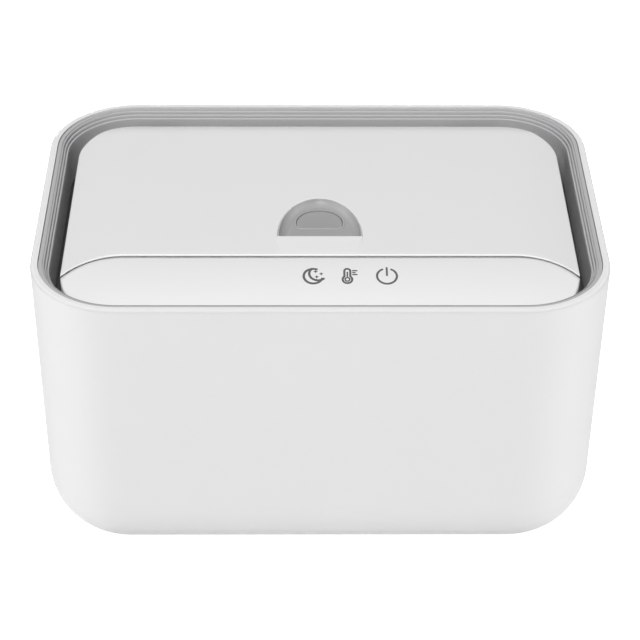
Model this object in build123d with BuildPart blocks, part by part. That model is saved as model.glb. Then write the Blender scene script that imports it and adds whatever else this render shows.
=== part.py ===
from build123d import *

import os
from math import asin, cos, degrees, radians, sin, tan

# Baby wipe warmer: a heated tank in a soft-cornered housing, under a hinged, latched lid.
# Millimetres. Origin on the floor under the middle of the housing, +X to the right of someone
# facing the controls, +Y to the back (the hinge side) and +Z up.

# ---------------------------------------------------------------- driving dimensions
# Housing
body_width = 231.0  # across the rim, along X
body_depth = 162.5  # across the rim, along Y
body_height = 131.5  # floor to rim
corner_radius = 36.2  # plan corner of the rim
bottom_radius = 30.0  # rounding between wall and underside
wall_draft = 0.9  # degrees, walls lean in towards the bottom
shell_wall = 3.0
rim_radius = 1.2
foot_height = 1.5  # how far the feet stand below the housing

# Stepped trim inside the rim
trim_gap = 0.1  # trim to housing wall
trim_drop = 0.3  # top ledge below the rim
trim_ledge = 2.2  # width of the top ledge
trim_tread = 1.1
trim_riser = 1.15
trim_steps = 3
trim_wall = 1.8
trim_flange_height = 5.7

# The crowned top that fills the trim: lid behind, control panel in front
top_gap = 3.0  # trim wall to lid edge
top_drop = 3.6  # rim to lid top
side_fall = 2.9  # how far the top falls at its left and right edges
side_run = 25.0  # over this much width
back_fall = 1.2
back_run = 7.6
crease_setback = 33.3  # front edge of the top to the crease, measured along Y
facet_angle = 14.8  # degrees, slope of the control panel
edge_radius = 0.5  # rounding of the top's outline
seam_gap = 0.5  # lid to control panel

# Control panel
panel_wall = 2.0
panel_skin = 2.2
panel_screw_inset = 18.9  # screw to the panel's side
panel_screw_setback = 17.65  # screw to the crease
touch_width = 96.0
touch_depth = 19.0
touch_thickness = 1.2
touch_centre = 15.0
touch_gap = 0.05
touch_row = -16.5  # middle of the touch board, down the slope from the crease
icon_places = (-2.7, 12.1, 26.8)
lamp_width = 3.5
connector_row = -22.0
connector_depth = 4.5
connector_height = 2.4

# Lid
lid_wall = 2.2
lid_skin = 2.4  # thickness of the lid's top
lid_front_draft = 4.0  # degrees, lets the front wall swing out past the panel
lid_floor_gap = 1.0  # lid skirt above the deck
liner_thickness = 2.0
liner_gap = 0.3
liner_setback = 4.0  # liner's rear edge to the hinge axis
liner_screw_inset = 7.0  # screw to the side and front of the mouth
liner_screw_back = 11.0
seal_width = 3.4
seal_thickness = 2.0
seal_lift = 0.3  # seal above the collar with the lid down
seal_bite = 1.2  # how deep the seal sits in the liner
relief_setback = 10.0  # the skirt starts to rise this far in front of the hinge axis
relief_height = 9.5

# Deck under the lid and panel
deck_depth = 23.0  # rim to deck
deck_thickness = 2.0
deck_gap = 0.4
mouth_side = 25.5  # housing side to the opening that the wipes are taken through
mouth_setback = 7.35  # crease to the mouth
mouth_clearance = 7.0  # mouth to the hinge axis
mouth_radius = 14.0
collar_height = 5.0
collar_wall = 2.0

# Hinge
hinge_setback = 9.65  # axis in front of the lid's rear edge
hinge_drop = 4.0  # axis below the lid top
hinge_inset = 8.9  # middle of each hinge to where the lid's side begins to fall
hinge_radius = 2.6
knuckle_width = 10.0
ear_width = 3.2
ear_gap = 0.3
ear_foot = 6.0
ear_reach = 4.5  # room behind the axis for the ears, under the lid's skin
pin_radius = 1.25
pin_fit = 0.05  # running clearance of the lid's knuckle on its pin
pin_hold = 0.02  # clearance of the pin in the fixed ears
pin_overhang = 0.5

# Finger scoop and release button
scoop_half_width = 17.3
scoop_length = 29.3
scoop_setback = 14.15  # crease to the scoop
scoop_rim = 0.5
scoop_front_depth = 5.6
scoop_back_depth = 2.4
scoop_bevel = 3.8  # how far the scoop's wall leans in
scoop_skin = 1.5
scoop_flange = 2.4
scoop_flange_thickness = 1.2
scoop_fit = 0.05  # scoop to the lid's cut-out
lip_rise = 0.7  # the lid's skin swells up in front of the scoop
button_width = 18.1
button_length = 11.5
button_setback = 12.7  # scoop's front edge to the button
button_corner = 2.0
button_shoulder = 3.6
button_sink = 0.4
button_gap = 0.3
button_guide = 1.2  # wall of the guide round the button
button_seat = 0.9  # scoop's underside to the button's underside, at the front
tab_width = 3.2
tab_depth = 4.0
tab_thickness = 1.0
cam_setback = 1.5  # button's front edge to the cam
cam_width = 3.0
cam_thickness = 2.6
cam_clearance = 0.15
spring_radius = 1.6
spring_wire = 0.5
spring_turns = 6
spring_setback = 9.7  # button's front edge to the spring's axis
spring_play = 0.05

# Latch
well_width = 21.0
well_front_gap = 2.0  # well to the button's outline, in front and behind
well_back_gap = 3.4
well_depth = 2.5  # well's floor below the liner's underside
well_wall = 1.5
rail_width = 1.5
rail_setback = 4.85  # crease to the rails
bolt_width = 9.0
bolt_thickness = 2.4
bolt_lift = 0.2
bolt_engagement = 1.5
bolt_tail = 3.9  # cam to the bolt's rear end
bolt_side_gap = 0.2
bolt_chamfer = 1.2
keeper_width = 16.0
keeper_thickness = 1.6
keeper_head = 2.9  # keeper above the bolt
keeper_foot = 5.5
keeper_window = 0.5  # window to bolt at the sides
keeper_gap = 0.2

# Tank and heater
tank_side = 9.0  # mouth to the flange's edge, at the sides, front and back
tank_front_reach = 32.0
tank_back_reach = 12.0
tank_radius = 24.0
tank_flange = 3.0
tank_flange_thickness = 2.0
tank_wall = 2.0
tank_draft = 1.2
tank_floor_radius = 9.0
tray_level = 22.5  # underside of the heater tray above the floor
tray_wall = 1.8
pad_thickness = 4.0
film_thickness = 0.4
film_inset = 4.0
plate_thickness = 2.5
heater_inset = 10.0  # flange's edge to the heating plate, at the sides
heater_setback = 9.0  # and at the front and back
heater_radius = 18.0
fuse_x = 30.0
fuse_radius = 1.6
thermistor_x = 0.0
thermistor_radius = 1.2
lead_radius = 0.9
lead_room = 0.4
lead_pitch = 4.0

# Base, boards and power
base_side = 39.5  # housing side to the base plate
base_setback = 37.25
base_radius = 14.0
base_thickness = 2.0
base_ledge = 9.0  # how far the housing reaches in under the plate's edge
base_fit = 0.2
foot_radius = 7.0
foot_recess = 0.8
foot_inset = 19.0  # foot's middle to the plate's side
foot_setback = 18.0
post_radius = 3.5
post_inset = 18.0
post_setback = 17.0
vent_count = 5
vent_length = 20.0
vent_pitch = 8.0
board_side = 27.0  # base plate's side to the board
board_setback = 21.0
board_thickness = 1.6
board_corner = 4.0  # screw to the board's edges
standoff_height = 6.0
socket_height = 3.0
socket_width = 9.0
socket_depth = 6.0
socket_setback = 3.6  # socket's middle to the board's edge
inlet_socket_height = 4.0
capacitor_radius = 4.0
capacitor_height = 9.0
chip_size = (5.0, 7.0, 3.0)
chip_spots = ((-8.0, -12.0), (10.0, -10.0))
lead_drop = 15.0  # inlet's axis to the first bend of its leads
lead_sag = 4.9  # leads above the board at their second bend
lead_level = 2.5  # leads above the board where they reach the socket
lead_run = 19.0  # straight run to the socket
lead_bend = 4.0
inlet_lead = 7.5  # housing wall to the leads
lead_inset = 15.0  # board's side to the heater's socket
ribbon_inset = 5.0
ribbon_width = 12.0
ribbon_thickness = 0.4
ribbon_bend = 2.5
ribbon_clearance = 3.5  # ribbon to the tank's flange
inlet_inset = 53.5  # housing side to the inlet
inlet_z = 40.0
inlet_bore = 3.0
inlet_pin = 1.0
inlet_nose = 4.0
inlet_body = 10.0
inlet_socket_inset = 7.0

# Fasteners
screw_radius = 1.4
screw_head = 2.8
screw_head_height = 1.5
screw_short = 8.0
screw_long = 12.0
pilot_radius = 1.45
boss_radius = 4.0
column_radius = 4.5
column_inset = 16.0
column_setback = 14.75
base_screw_inset = 10.0
base_screw_setback = 5.5

# ---------------------------------------------------------------- worked-out levels
rim_z = body_height
lid_top = rim_z - top_drop
deck_top = rim_z - deck_depth
deck_bottom = deck_top - deck_thickness
deck_inset = shell_wall + deck_gap + deck_depth * tan(radians(wall_draft))
collar_top = deck_top + collar_height
skirt_bottom = deck_top + lid_floor_gap
seal_bottom = collar_top + seal_lift
seal_top = seal_bottom + seal_thickness
liner_bottom = seal_top - seal_bite
liner_top = liner_bottom + liner_thickness
bolt_bottom = liner_top + bolt_lift
bolt_top = bolt_bottom + bolt_thickness
base_top = foot_height + base_thickness
skin_bottom = lid_top - lid_skin

trim_inset = shell_wall + trim_gap
trim_top = rim_z - trim_drop
trim_flange_bottom = trim_top - trim_flange_height
trim_bore_inset = trim_inset + trim_ledge + trim_steps * trim_tread
top_inset = trim_bore_inset + top_gap
top_width = body_width - 2 * top_inset
top_depth = body_depth - 2 * top_inset
top_radius = corner_radius - top_inset
crease_y = -top_depth / 2 + crease_setback
facet_slope = tan(radians(facet_angle))
flat_half = top_width / 2 - side_run
crown_radius = (side_run**2 + side_fall**2) / (2 * side_fall)
roll_radius = (back_run**2 + back_fall**2) / (2 * back_fall)
seam_shift = side_fall / facet_slope
seam_radius = (side_run**2 + seam_shift**2) / (2 * seam_shift)
seam_overrun = 2.0  # the seam's arc runs on past the lid's side

hinge_y = top_depth / 2 - hinge_setback
hinge_z = lid_top - hinge_drop
hinge_centre = flat_half - hinge_inset
axis_level = (hinge_y, hinge_z)
ear_starts = [
    side * hinge_centre + edge
    for side in (-1, 1)
    for edge in (-knuckle_width / 2 - ear_gap - ear_width, knuckle_width / 2 + ear_gap)
]

mouth_width = body_width - 2 * mouth_side
mouth_front = crease_y + mouth_setback
mouth_back = hinge_y - mouth_clearance
mouth_middle = (mouth_front + mouth_back) / 2
mouth_length = mouth_back - mouth_front

scoop_front = crease_y + scoop_setback
scoop_tilt = degrees(asin((scoop_front_depth - scoop_back_depth) / scoop_length))
scoop_floor = Plane(
    origin=(0, scoop_front, lid_top - scoop_front_depth),
    x_dir=(1, 0, 0),
    z_dir=(0, -sin(radians(scoop_tilt)), cos(radians(scoop_tilt))),
)
button_front = scoop_front + button_setback
button_back = button_front + button_length
button_bottom = lid_top - scoop_front_depth - button_seat
cam_y = button_front + cam_setback
cam_level = (bolt_bottom + bolt_top) / 2
spring_y = button_front + spring_setback
well_front = button_front - well_front_gap
well_back = button_back + well_back_gap
well_floor = liner_bottom - well_depth
rail_front = crease_y + rail_setback
bolt_rear = cam_y + bolt_tail
keeper_back = crease_y - seam_gap / 2 - keeper_gap
keeper_height = bolt_top + keeper_head - deck_top

stack_bottom = tray_level + tray_wall
film_bottom = stack_bottom + pad_thickness
plate_bottom = film_bottom + film_thickness
tank_bottom = plate_bottom + plate_thickness
tank_width = mouth_width + 2 * tank_side
tank_front = mouth_front - tank_front_reach
tank_back = mouth_back + tank_back_reach
tank_middle = (tank_front + tank_back) / 2
tank_depth = tank_back - tank_front
heater_width = tank_width - 2 * heater_inset
heater_depth = tank_depth - 2 * heater_setback

base_width = body_width - 2 * base_side
base_depth = body_depth - 2 * base_setback
board_width = base_width - 2 * board_side
board_depth = base_depth - 2 * board_setback
board_bottom = base_top + standoff_height
board_top = board_bottom + board_thickness
lead_middle = lead_inset - board_width / 2
lead_places = (lead_middle - lead_pitch / 2, lead_middle + lead_pitch / 2)
inlet_x = inlet_inset - body_width / 2
inlet_socket_x = inlet_socket_inset - board_width / 2
inlet_wall_y = body_depth / 2 - shell_wall - (rim_z - inlet_z) * tan(radians(wall_draft))
ribbon_x = board_width / 2 - ribbon_inset
ribbon_y = tank_front - ribbon_clearance
ribbon_end = -board_depth / 2 + 0.6
ribbon_start_y = crease_y + connector_row * cos(radians(facet_angle))
connector_level = lid_top - panel_skin + connector_row * sin(radians(facet_angle))
ribbon_start_z = connector_level - touch_thickness - connector_height - 1.0


def four_spots(inset_x, inset_y, width, depth):
    """The corners of a rectangle of that width and depth, drawn in by the insets."""
    return [(sx * (width / 2 - inset_x), sy * (depth / 2 - inset_y)) for sx in (-1, 1) for sy in (-1, 1)]


column_spots = four_spots(column_inset, column_setback, body_width, body_depth)
foot_spots = four_spots(foot_inset, foot_setback, base_width, base_depth)
post_spots = four_spots(post_inset, post_setback, base_width, base_depth)
board_spots = four_spots(board_corner, board_corner, board_width, board_depth)
base_spots = [
    (column * (base_width / 2 - base_screw_inset), row * (base_depth / 2 - base_screw_setback))
    for column in (-1, 0, 1)
    for row in (-1, 1)
]
liner_spots = [
    (side * (mouth_width / 2 - liner_screw_inset), y)
    for side in (-1, 1)
    for y in (mouth_front + liner_screw_inset, mouth_back - liner_screw_back)
]
panel_screw_x = top_width / 2 - panel_screw_inset
panel_spots = [(side * panel_screw_x, crease_y - panel_screw_setback) for side in (-1, 1)]


# ---------------------------------------------------------------- shared shapes
def at_level(spots, level):
    """The plan places given, all at one height."""
    return [(x, y, level) for x, y in spots]


def plan(inset):
    """Width, depth and corner radius of the rim's outline, drawn in by inset."""
    return body_width - 2 * inset, body_depth - 2 * inset, corner_radius - inset


def tank_size(inset):
    """Width, depth and corner radius of the tank's flange, drawn in by inset."""
    return tank_width - 2 * inset, tank_depth - 2 * inset, tank_radius - inset


def rounded_block(size, bottom, top, draft=0.0, middle_y=0.0):
    """Block with rounded plan corners, full size at its top and drawn in downwards by its draft."""
    width, depth, radius = size
    with BuildPart() as block:
        with BuildSketch(Plane.XY.offset(top)):
            with Locations((0, middle_y)):
                RectangleRounded(width, depth, radius)
        extrude(amount=top - bottom, dir=(0, 0, -1), taper=draft)
    return block.part


def crowned_top(inset, drop, bottom):
    """The whole crowned top, lid and panel in one, drawn in at its sides and lowered on top.

    Its outline is the trim's. One cross-section, flat with falling sides, is carried back along the
    flat and over the roll, and the sloping panel is cut off in front. The crease is where they meet.
    """
    level = lid_top - drop
    half_width = top_width / 2 - inset
    half_depth = top_depth / 2 - inset
    crown = crown_radius - drop
    side_angle = degrees(asin((half_width + 1 - flat_half) / crown))
    slope_run = crease_y + half_depth + 1
    over = lid_top + deck_depth
    with BuildPart() as above:
        with BuildSketch(Plane.XZ.offset(top_depth)):
            with BuildLine():
                flat = Line((0, level), (flat_half, level))
                fall = JernArc(flat @ 1, (1, 0), crown, -side_angle)
                Polyline(fall @ 1, ((fall @ 1).X, over), (0, over), (0, level))
            make_face()
            mirror(about=Plane.YZ)
        with BuildLine(Plane.YZ) as length:
            run = Line((-top_depth, level), (top_depth / 2 - back_run, level))
            JernArc(run @ 1, (1, 0), roll_radius - drop, -30)
        sweep(path=length.line)
    with BuildPart() as top:
        with BuildSketch(Plane.XY.offset(bottom)):
            RectangleRounded(2 * half_width, 2 * half_depth, top_radius - inset)
        extrude(amount=level + 1 - bottom)
        add(above.part, mode=Mode.SUBTRACT)
        with BuildSketch(Plane.YZ):
            with BuildLine():
                Polyline(
                    (crease_y, level),
                    (crease_y - slope_run, level - slope_run * facet_slope),
                    (crease_y - slope_run, level + 2),
                    (crease_y, level + 2),
                    close=True,
                )
            make_face()
        extrude(amount=top_width, both=True, mode=Mode.SUBTRACT)
    return top.part


def front_zone(setback, top, bottom, draft=0.0):
    """Everything in front of the seam, whose ends curve forward, with the seam moved back by setback."""
    radius = seam_radius + setback
    sweep_angle = degrees(asin((side_run + seam_overrun) / radius))
    with BuildPart() as zone:
        with BuildSketch(Plane.XY.offset(top)):
            with BuildLine():
                straight = Line((0, crease_y + setback), (flat_half, crease_y + setback))
                bend = JernArc(straight @ 1, (1, 0), radius, -sweep_angle)
                Polyline(
                    bend @ 1,
                    (body_width, (bend @ 1).Y),
                    (body_width, -body_depth),
                    (0, -body_depth),
                    straight @ 0,
                )
            make_face()
            mirror(about=Plane.YZ)
        extrude(amount=top - bottom, dir=(0, 0, -1), taper=-draft)
    return zone.part


def countersunk_screw(length):
    """Screw with its flat head at the origin and its shank pointing down."""
    with BuildPart() as screw:
        with Locations((0, 0, -screw_head_height / 2)):
            Cone(screw_radius, screw_head, screw_head_height)
        with Locations((0, 0, -length / 2)):
            Cylinder(screw_radius, length)
        with Locations((0, 0, -0.4)):
            Box(3.2, 0.7, 0.8, mode=Mode.SUBTRACT)
            Box(0.7, 3.2, 0.8, mode=Mode.SUBTRACT)
    return screw.part


def screw_seat(length):
    """The space a countersunk screw needs, with running room all round."""
    room = pilot_radius - screw_radius
    with BuildPart() as seat:
        with Locations((0, 0, -screw_head_height / 2)):
            Cone(screw_radius + room, screw_head + room, screw_head_height)
        with Locations((0, 0, -(length + 1) / 2)):
            Cylinder(pilot_radius, length + 1)
    return seat.part


def half_moon(half_width, length, front):
    """Half ellipse standing on a straight front edge, drawn in the sketch that is open."""
    with BuildLine() as outline:
        arch = EllipticalCenterArc((0, front), half_width, length, 0, arc_size=180)
        Line(arch @ 1, arch @ 0)
    return make_face(outline.edges())


os.makedirs("parts", exist_ok=True)


def finish(builder, name):
    """Label the piece and write it."""
    builder.part.label = name
    export_step(builder.part, f"parts/{name}.step")
    print(name, len(builder.part.solids()), round(builder.part.volume))


def tub(size, bottom, top, draft, floor_radius, middle_y=0.0):
    """Drafted block whose lower edge is rounded."""
    block = rounded_block(size, bottom, top, draft, middle_y)
    with BuildPart() as form:
        add(block)
        fillet(form.faces().sort_by(Axis.Z)[0].edges(), floor_radius)
    return form.part


def straight_wire(points, radius, bend):
    """Round wire along straight runs joined by arcs."""
    with BuildPart() as wire:
        with BuildLine() as route:
            FilletPolyline(*points, radius=bend)
        with BuildSketch(Plane(origin=route.line @ 0, z_dir=route.line % 0)):
            Circle(radius)
        sweep()
    return wire.part


long_screw = countersunk_screw(screw_long)
short_screw = countersunk_screw(screw_short)
long_seat = screw_seat(screw_long)
short_seat = screw_seat(screw_short)
upward = (180, 0, 0)

# ---------------------------------------------------------------- housing
housing_form = tub(plan(0), foot_height, rim_z, wall_draft, bottom_radius)
room_radius = bottom_radius - shell_wall
housing_room = tub(plan(shell_wall), foot_height + shell_wall, rim_z, wall_draft, room_radius)

with BuildPart() as outer_shell:
    add(housing_form)
    fillet(outer_shell.faces().sort_by(Axis.Z)[-1].edges(), rim_radius)
    add(housing_room, mode=Mode.SUBTRACT)
    with Locations(*at_level(column_spots, foot_height)):
        Cylinder(column_radius, deck_bottom - foot_height, align=(Align.CENTER, Align.CENTER, Align.MIN))
    with Locations(*at_level(base_spots, base_top)):
        Cylinder(boss_radius, screw_short, align=(Align.CENTER, Align.CENTER, Align.MIN))
    add(housing_form, mode=Mode.INTERSECT)
    with BuildSketch(Plane.XY.offset(foot_height)):
        RectangleRounded(base_width + 2 * base_fit, base_depth + 2 * base_fit, base_radius + base_fit)
    extrude(amount=base_thickness, mode=Mode.SUBTRACT)
    with BuildSketch(Plane.XY.offset(foot_height)):
        RectangleRounded(base_width - 2 * base_ledge, base_depth - 2 * base_ledge, base_radius - base_ledge)
    extrude(amount=2 * shell_wall, mode=Mode.SUBTRACT)
    with Locations(*at_level(base_spots, foot_height)):
        add(short_seat, rotation=upward, mode=Mode.SUBTRACT)
    with Locations(*at_level(column_spots, deck_top)):
        add(long_seat, mode=Mode.SUBTRACT)
    with Locations(Location((inlet_x, inlet_wall_y, inlet_z), (90, 0, 0))):
        Cylinder(inlet_nose + base_fit, 4 * shell_wall, mode=Mode.SUBTRACT)
finish(outer_shell, "outer_shell")

with BuildPart() as base_plate:
    with BuildSketch(Plane.XY.offset(foot_height)):
        RectangleRounded(base_width, base_depth, base_radius)
    extrude(amount=base_thickness)
    with Locations(*at_level(post_spots, base_top)):
        Cylinder(post_radius, tray_level - base_top, align=(Align.CENTER, Align.CENTER, Align.MIN))
    with Locations(*at_level(board_spots, base_top)):
        Cylinder(post_radius, standoff_height, align=(Align.CENTER, Align.CENTER, Align.MIN))
    with Locations(*at_level(foot_spots, foot_height)):
        Cylinder(
            foot_radius + 0.1,
            foot_recess,
            align=(Align.CENTER, Align.CENTER, Align.MIN),
            mode=Mode.SUBTRACT,
        )
    with Locations(*at_level(base_spots, foot_height)):
        add(short_seat, rotation=upward, mode=Mode.SUBTRACT)
    with Locations(*at_level(board_spots, board_top)):
        add(short_seat, mode=Mode.SUBTRACT)
    with BuildSketch(Plane.XY.offset(foot_height)):
        with GridLocations(vent_pitch, 0, vent_count, 1):
            SlotOverall(vent_length, 2.0, rotation=90)
    extrude(amount=base_thickness, mode=Mode.SUBTRACT)
finish(base_plate, "base_plate")

with BuildPart() as rubber_feet:
    with Locations(*at_level(foot_spots, 0)):
        Cylinder(foot_radius, foot_height + foot_recess, align=(Align.CENTER, Align.CENTER, Align.MIN))
    fillet(rubber_feet.edges().group_by(Axis.Z)[0], 0.6)
finish(rubber_feet, "rubber_feet")

with BuildPart() as base_screws:
    with Locations(*at_level(base_spots, foot_height)):
        add(short_screw, rotation=upward)
finish(base_screws, "base_screws")

# ---------------------------------------------------------------- tank and heater
with BuildPart() as wipe_tank:
    add(tub(tank_size(tank_flange), tank_bottom, deck_bottom, tank_draft, tank_floor_radius, tank_middle))
    add(rounded_block(tank_size(0), deck_bottom - tank_flange_thickness, deck_bottom, 0, tank_middle))
    add(
        tub(
            tank_size(tank_flange + tank_wall),
            tank_bottom + tank_wall,
            deck_bottom,
            tank_draft,
            tank_floor_radius - tank_wall,
            tank_middle,
        ),
        mode=Mode.SUBTRACT,
    )
finish(wipe_tank, "wipe_tank")

heater_size = (heater_width, heater_depth, heater_radius)
tray_grow = tray_wall + base_fit
tray_size = (heater_width + 2 * tray_grow, heater_depth + 2 * tray_grow, heater_radius + tray_wall)
tray_room = (heater_width + 2 * base_fit, heater_depth + 2 * base_fit, heater_radius)

with BuildPart() as heater_tray:
    add(rounded_block(tray_size, tray_level, plate_bottom, 0, tank_middle))
    add(rounded_block(tray_room, stack_bottom, plate_bottom, 0, tank_middle), mode=Mode.SUBTRACT)
    with Locations(*[(x, tank_middle, tray_level) for x in lead_places]):
        Cylinder(lead_radius + lead_room, 3 * tray_wall, mode=Mode.SUBTRACT)
finish(heater_tray, "heater_tray")

with BuildPart() as insulation_pad:
    add(rounded_block(heater_size, stack_bottom, film_bottom, 0, tank_middle))
    with Locations(*[(x, tank_middle, stack_bottom) for x in lead_places]):
        Cylinder(lead_radius + lead_room, 3 * pad_thickness, mode=Mode.SUBTRACT)
    with Locations((fuse_x, tank_middle, film_bottom), (thermistor_x, tank_middle, film_bottom)):
        Box(14.0, 6.0, 7.0, mode=Mode.SUBTRACT)
finish(insulation_pad, "insulation_pad")

with BuildPart() as heater_film:
    film_size = (heater_width - 2 * film_inset, heater_depth - 2 * film_inset, heater_radius - film_inset)
    add(rounded_block(film_size, film_bottom, plate_bottom, 0, tank_middle))
finish(heater_film, "heater_film")

with BuildPart() as heating_plate:
    add(rounded_block(heater_size, plate_bottom, tank_bottom, 0, tank_middle))
    fillet(heating_plate.edges().group_by(Axis.Z)[-1], 0.6)
finish(heating_plate, "heating_plate")

with BuildPart() as thermal_fuse:
    with Locations(Location((fuse_x, tank_middle, film_bottom - fuse_radius), (0, 90, 0))):
        Cylinder(fuse_radius, 9.0)
        Cylinder(0.4, 13.0)
finish(thermal_fuse, "thermal_fuse")

with BuildPart() as thermistor:
    with Locations(Location((thermistor_x, tank_middle, film_bottom - thermistor_radius), (0, 90, 0))):
        Cylinder(thermistor_radius, 5.0)
        Cylinder(0.35, 12.0)
finish(thermistor, "thermistor")

with BuildPart() as heater_leads:
    lead_foot = board_top + socket_height
    with Locations(*[(x, tank_middle, lead_foot) for x in lead_places]):
        Cylinder(lead_radius, film_bottom - lead_foot, align=(Align.CENTER, Align.CENTER, Align.MIN))
finish(heater_leads, "heater_leads")

# ---------------------------------------------------------------- boards and power
with BuildPart() as main_board:
    with BuildSketch(Plane.XY.offset(board_bottom)):
        RectangleRounded(board_width, board_depth, 2.0)
    extrude(amount=board_thickness)
    with Locations((-24, -12, board_top), (6, 10, board_top)):
        Box(9, 9, 1.6, align=(Align.CENTER, Align.CENTER, Align.MIN))
    with Locations((24, 8, board_top)):
        Cylinder(capacitor_radius, capacitor_height, align=(Align.CENTER, Align.CENTER, Align.MIN))
    with Locations(*at_level(chip_spots, board_top)):
        Box(*chip_size, align=(Align.CENTER, Align.CENTER, Align.MIN))
    with Locations((lead_middle, tank_middle, board_top)):
        Box(socket_width, socket_depth, socket_height, align=(Align.CENTER, Align.CENTER, Align.MIN))
    with Locations((ribbon_x, ribbon_end + 2.8, board_top)):
        Box(ribbon_width + 3, 5, 3.2, align=(Align.CENTER, Align.CENTER, Align.MIN))
    with Locations((inlet_socket_x, board_depth / 2 - socket_setback, board_top)):
        Box(socket_width, socket_depth, inlet_socket_height, align=(Align.CENTER, Align.CENTER, Align.MIN))
    with Locations(*at_level(board_spots, board_top)):
        add(short_seat, mode=Mode.SUBTRACT)
finish(main_board, "main_board")

with BuildPart() as board_screws:
    with Locations(*at_level(board_spots, board_top)):
        add(short_screw)
finish(board_screws, "board_screws")

with BuildPart() as dc_inlet:
    with Locations((inlet_x, inlet_wall_y - base_fit, inlet_z)):
        Box(inlet_body, inlet_body, inlet_body, align=(Align.CENTER, Align.MAX, Align.CENTER))
    with Locations(Location((inlet_x, inlet_wall_y - 1, inlet_z), (-90, 0, 0))):
        Cylinder(inlet_nose, shell_wall + 0.4, align=(Align.CENTER, Align.CENTER, Align.MIN))
        Cylinder(inlet_bore, 2 * (inlet_body - 2.5), mode=Mode.SUBTRACT)
    with Locations(Location((inlet_x, inlet_wall_y - inlet_body, inlet_z), (-90, 0, 0))):
        Cylinder(inlet_pin, inlet_body + 1.0, align=(Align.CENTER, Align.CENTER, Align.MIN))
finish(dc_inlet, "dc_inlet")

with BuildPart() as power_leads:
    for side in (-lead_pitch / 2, lead_pitch / 2):
        add(
            straight_wire(
                [
                    (inlet_x + side, inlet_wall_y - inlet_lead, inlet_z - inlet_body / 2 - 0.2),
                    (inlet_x + side, inlet_wall_y - inlet_lead, inlet_z - lead_drop),
                    (inlet_x + lead_pitch + side, inlet_wall_y - 2 * inlet_lead, board_top + lead_sag),
                    (inlet_socket_x + side, board_depth / 2 + lead_run, board_top + lead_level),
                    (inlet_socket_x + side, board_depth / 2 - 0.4, board_top + lead_level),
                ],
                lead_radius,
                lead_bend,
            )
        )
finish(power_leads, "power_leads")

# ---------------------------------------------------------------- deck, trim and control panel
def mouth(grow):
    """Rounded outline of the opening, let out by grow, in the sketch that is open."""
    with Locations((0, mouth_middle)):
        return RectangleRounded(mouth_width + 2 * grow, mouth_length + 2 * grow, mouth_radius + grow)


def ear_outline():
    """An ear seen from the side: a round eye on a foot that leans in under it."""
    foot_front = mouth_back + collar_wall - 0.5
    with BuildLine() as outline:
        Polyline(
            (foot_front, deck_bottom),
            (foot_front, collar_top - 1.0),
            (foot_front + 1.5, collar_top),
            (hinge_y - hinge_radius, hinge_z - 0.5),
            (hinge_y + hinge_radius * cos(radians(30)), hinge_z - hinge_radius * sin(radians(30))),
            (foot_front + ear_foot, deck_bottom),
            close=True,
        )
    make_face(outline.edges())
    with Locations(axis_level):
        Circle(hinge_radius)


with BuildPart() as top_deck:
    with BuildSketch(Plane.XY.offset(deck_bottom)):
        RectangleRounded(*plan(deck_inset))
    extrude(amount=deck_thickness)
    with BuildSketch(Plane.XY.offset(deck_bottom)):
        mouth(collar_wall)
    extrude(amount=deck_thickness + collar_height)
    with BuildSketch(Plane.XY.offset(deck_bottom)):
        mouth(0)
    extrude(amount=deck_thickness + collar_height, mode=Mode.SUBTRACT)
    fillet(top_deck.faces().filter_by(Axis.Z).group_by(Axis.Z)[-1].edges(), 0.5)
    with BuildSketch(*[Plane.YZ.offset(start) for start in ear_starts]):
        ear_outline()
    extrude(amount=ear_width)
    with Locations(Location((0, hinge_y, hinge_z), (0, 90, 0))):
        Cylinder(pin_radius + pin_hold, body_width, mode=Mode.SUBTRACT)
    with Locations(*at_level(column_spots, deck_top)):
        add(long_seat, mode=Mode.SUBTRACT)
    with Locations(*at_level(panel_spots, deck_bottom)):
        add(short_seat, rotation=upward, mode=Mode.SUBTRACT)
    with Locations((ribbon_x, ribbon_y, deck_bottom)):
        Box(ribbon_width + 2, 2.4, 3 * deck_thickness, mode=Mode.SUBTRACT)
finish(top_deck, "top_deck")

with BuildPart() as deck_screws:
    with Locations(*at_level(column_spots, deck_top)):
        add(long_screw)
finish(deck_screws, "deck_screws")

pin_length = knuckle_width + 2 * (ear_gap + ear_width + pin_overhang)
with BuildPart() as hinge_pins:
    with Locations(*[Location((side * hinge_centre, hinge_y, hinge_z), (0, 90, 0)) for side in (-1, 1)]):
        Cylinder(pin_radius, pin_length)
finish(hinge_pins, "hinge_pins")

with BuildPart() as trim_ring:
    add(rounded_block(plan(trim_inset), trim_flange_bottom, trim_top, wall_draft))
    add(rounded_block(plan(trim_bore_inset - trim_wall), deck_top, trim_flange_bottom))
    for step in range(trim_steps + 1):
        step_inset = trim_inset + trim_ledge + step * trim_tread
        step_floor = trim_top - (step + 1) * trim_riser if step < trim_steps else deck_top
        add(rounded_block(plan(step_inset), step_floor, trim_top), mode=Mode.SUBTRACT)
finish(trim_ring, "trim_ring")

top_form = crowned_top(0, 0, deck_top)


def upper_outline(solid):
    """Edges where the crowned top meets its own sides."""
    sides = [face for face in solid.faces() if abs(face.normal_at().Z) < sin(radians(2 * lid_front_draft))]
    high = [edge for face in sides for edge in face.edges() if edge.center().Z > collar_top]
    return [edge for edge in high if abs(edge.tangent_at().Z) < 0.7]


with BuildPart() as panel_room:
    add(crowned_top(panel_wall, panel_skin, deck_top - 1))
    add(front_zone(-seam_gap / 2 - panel_wall, lid_top, deck_top - 1), mode=Mode.INTERSECT)

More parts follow.
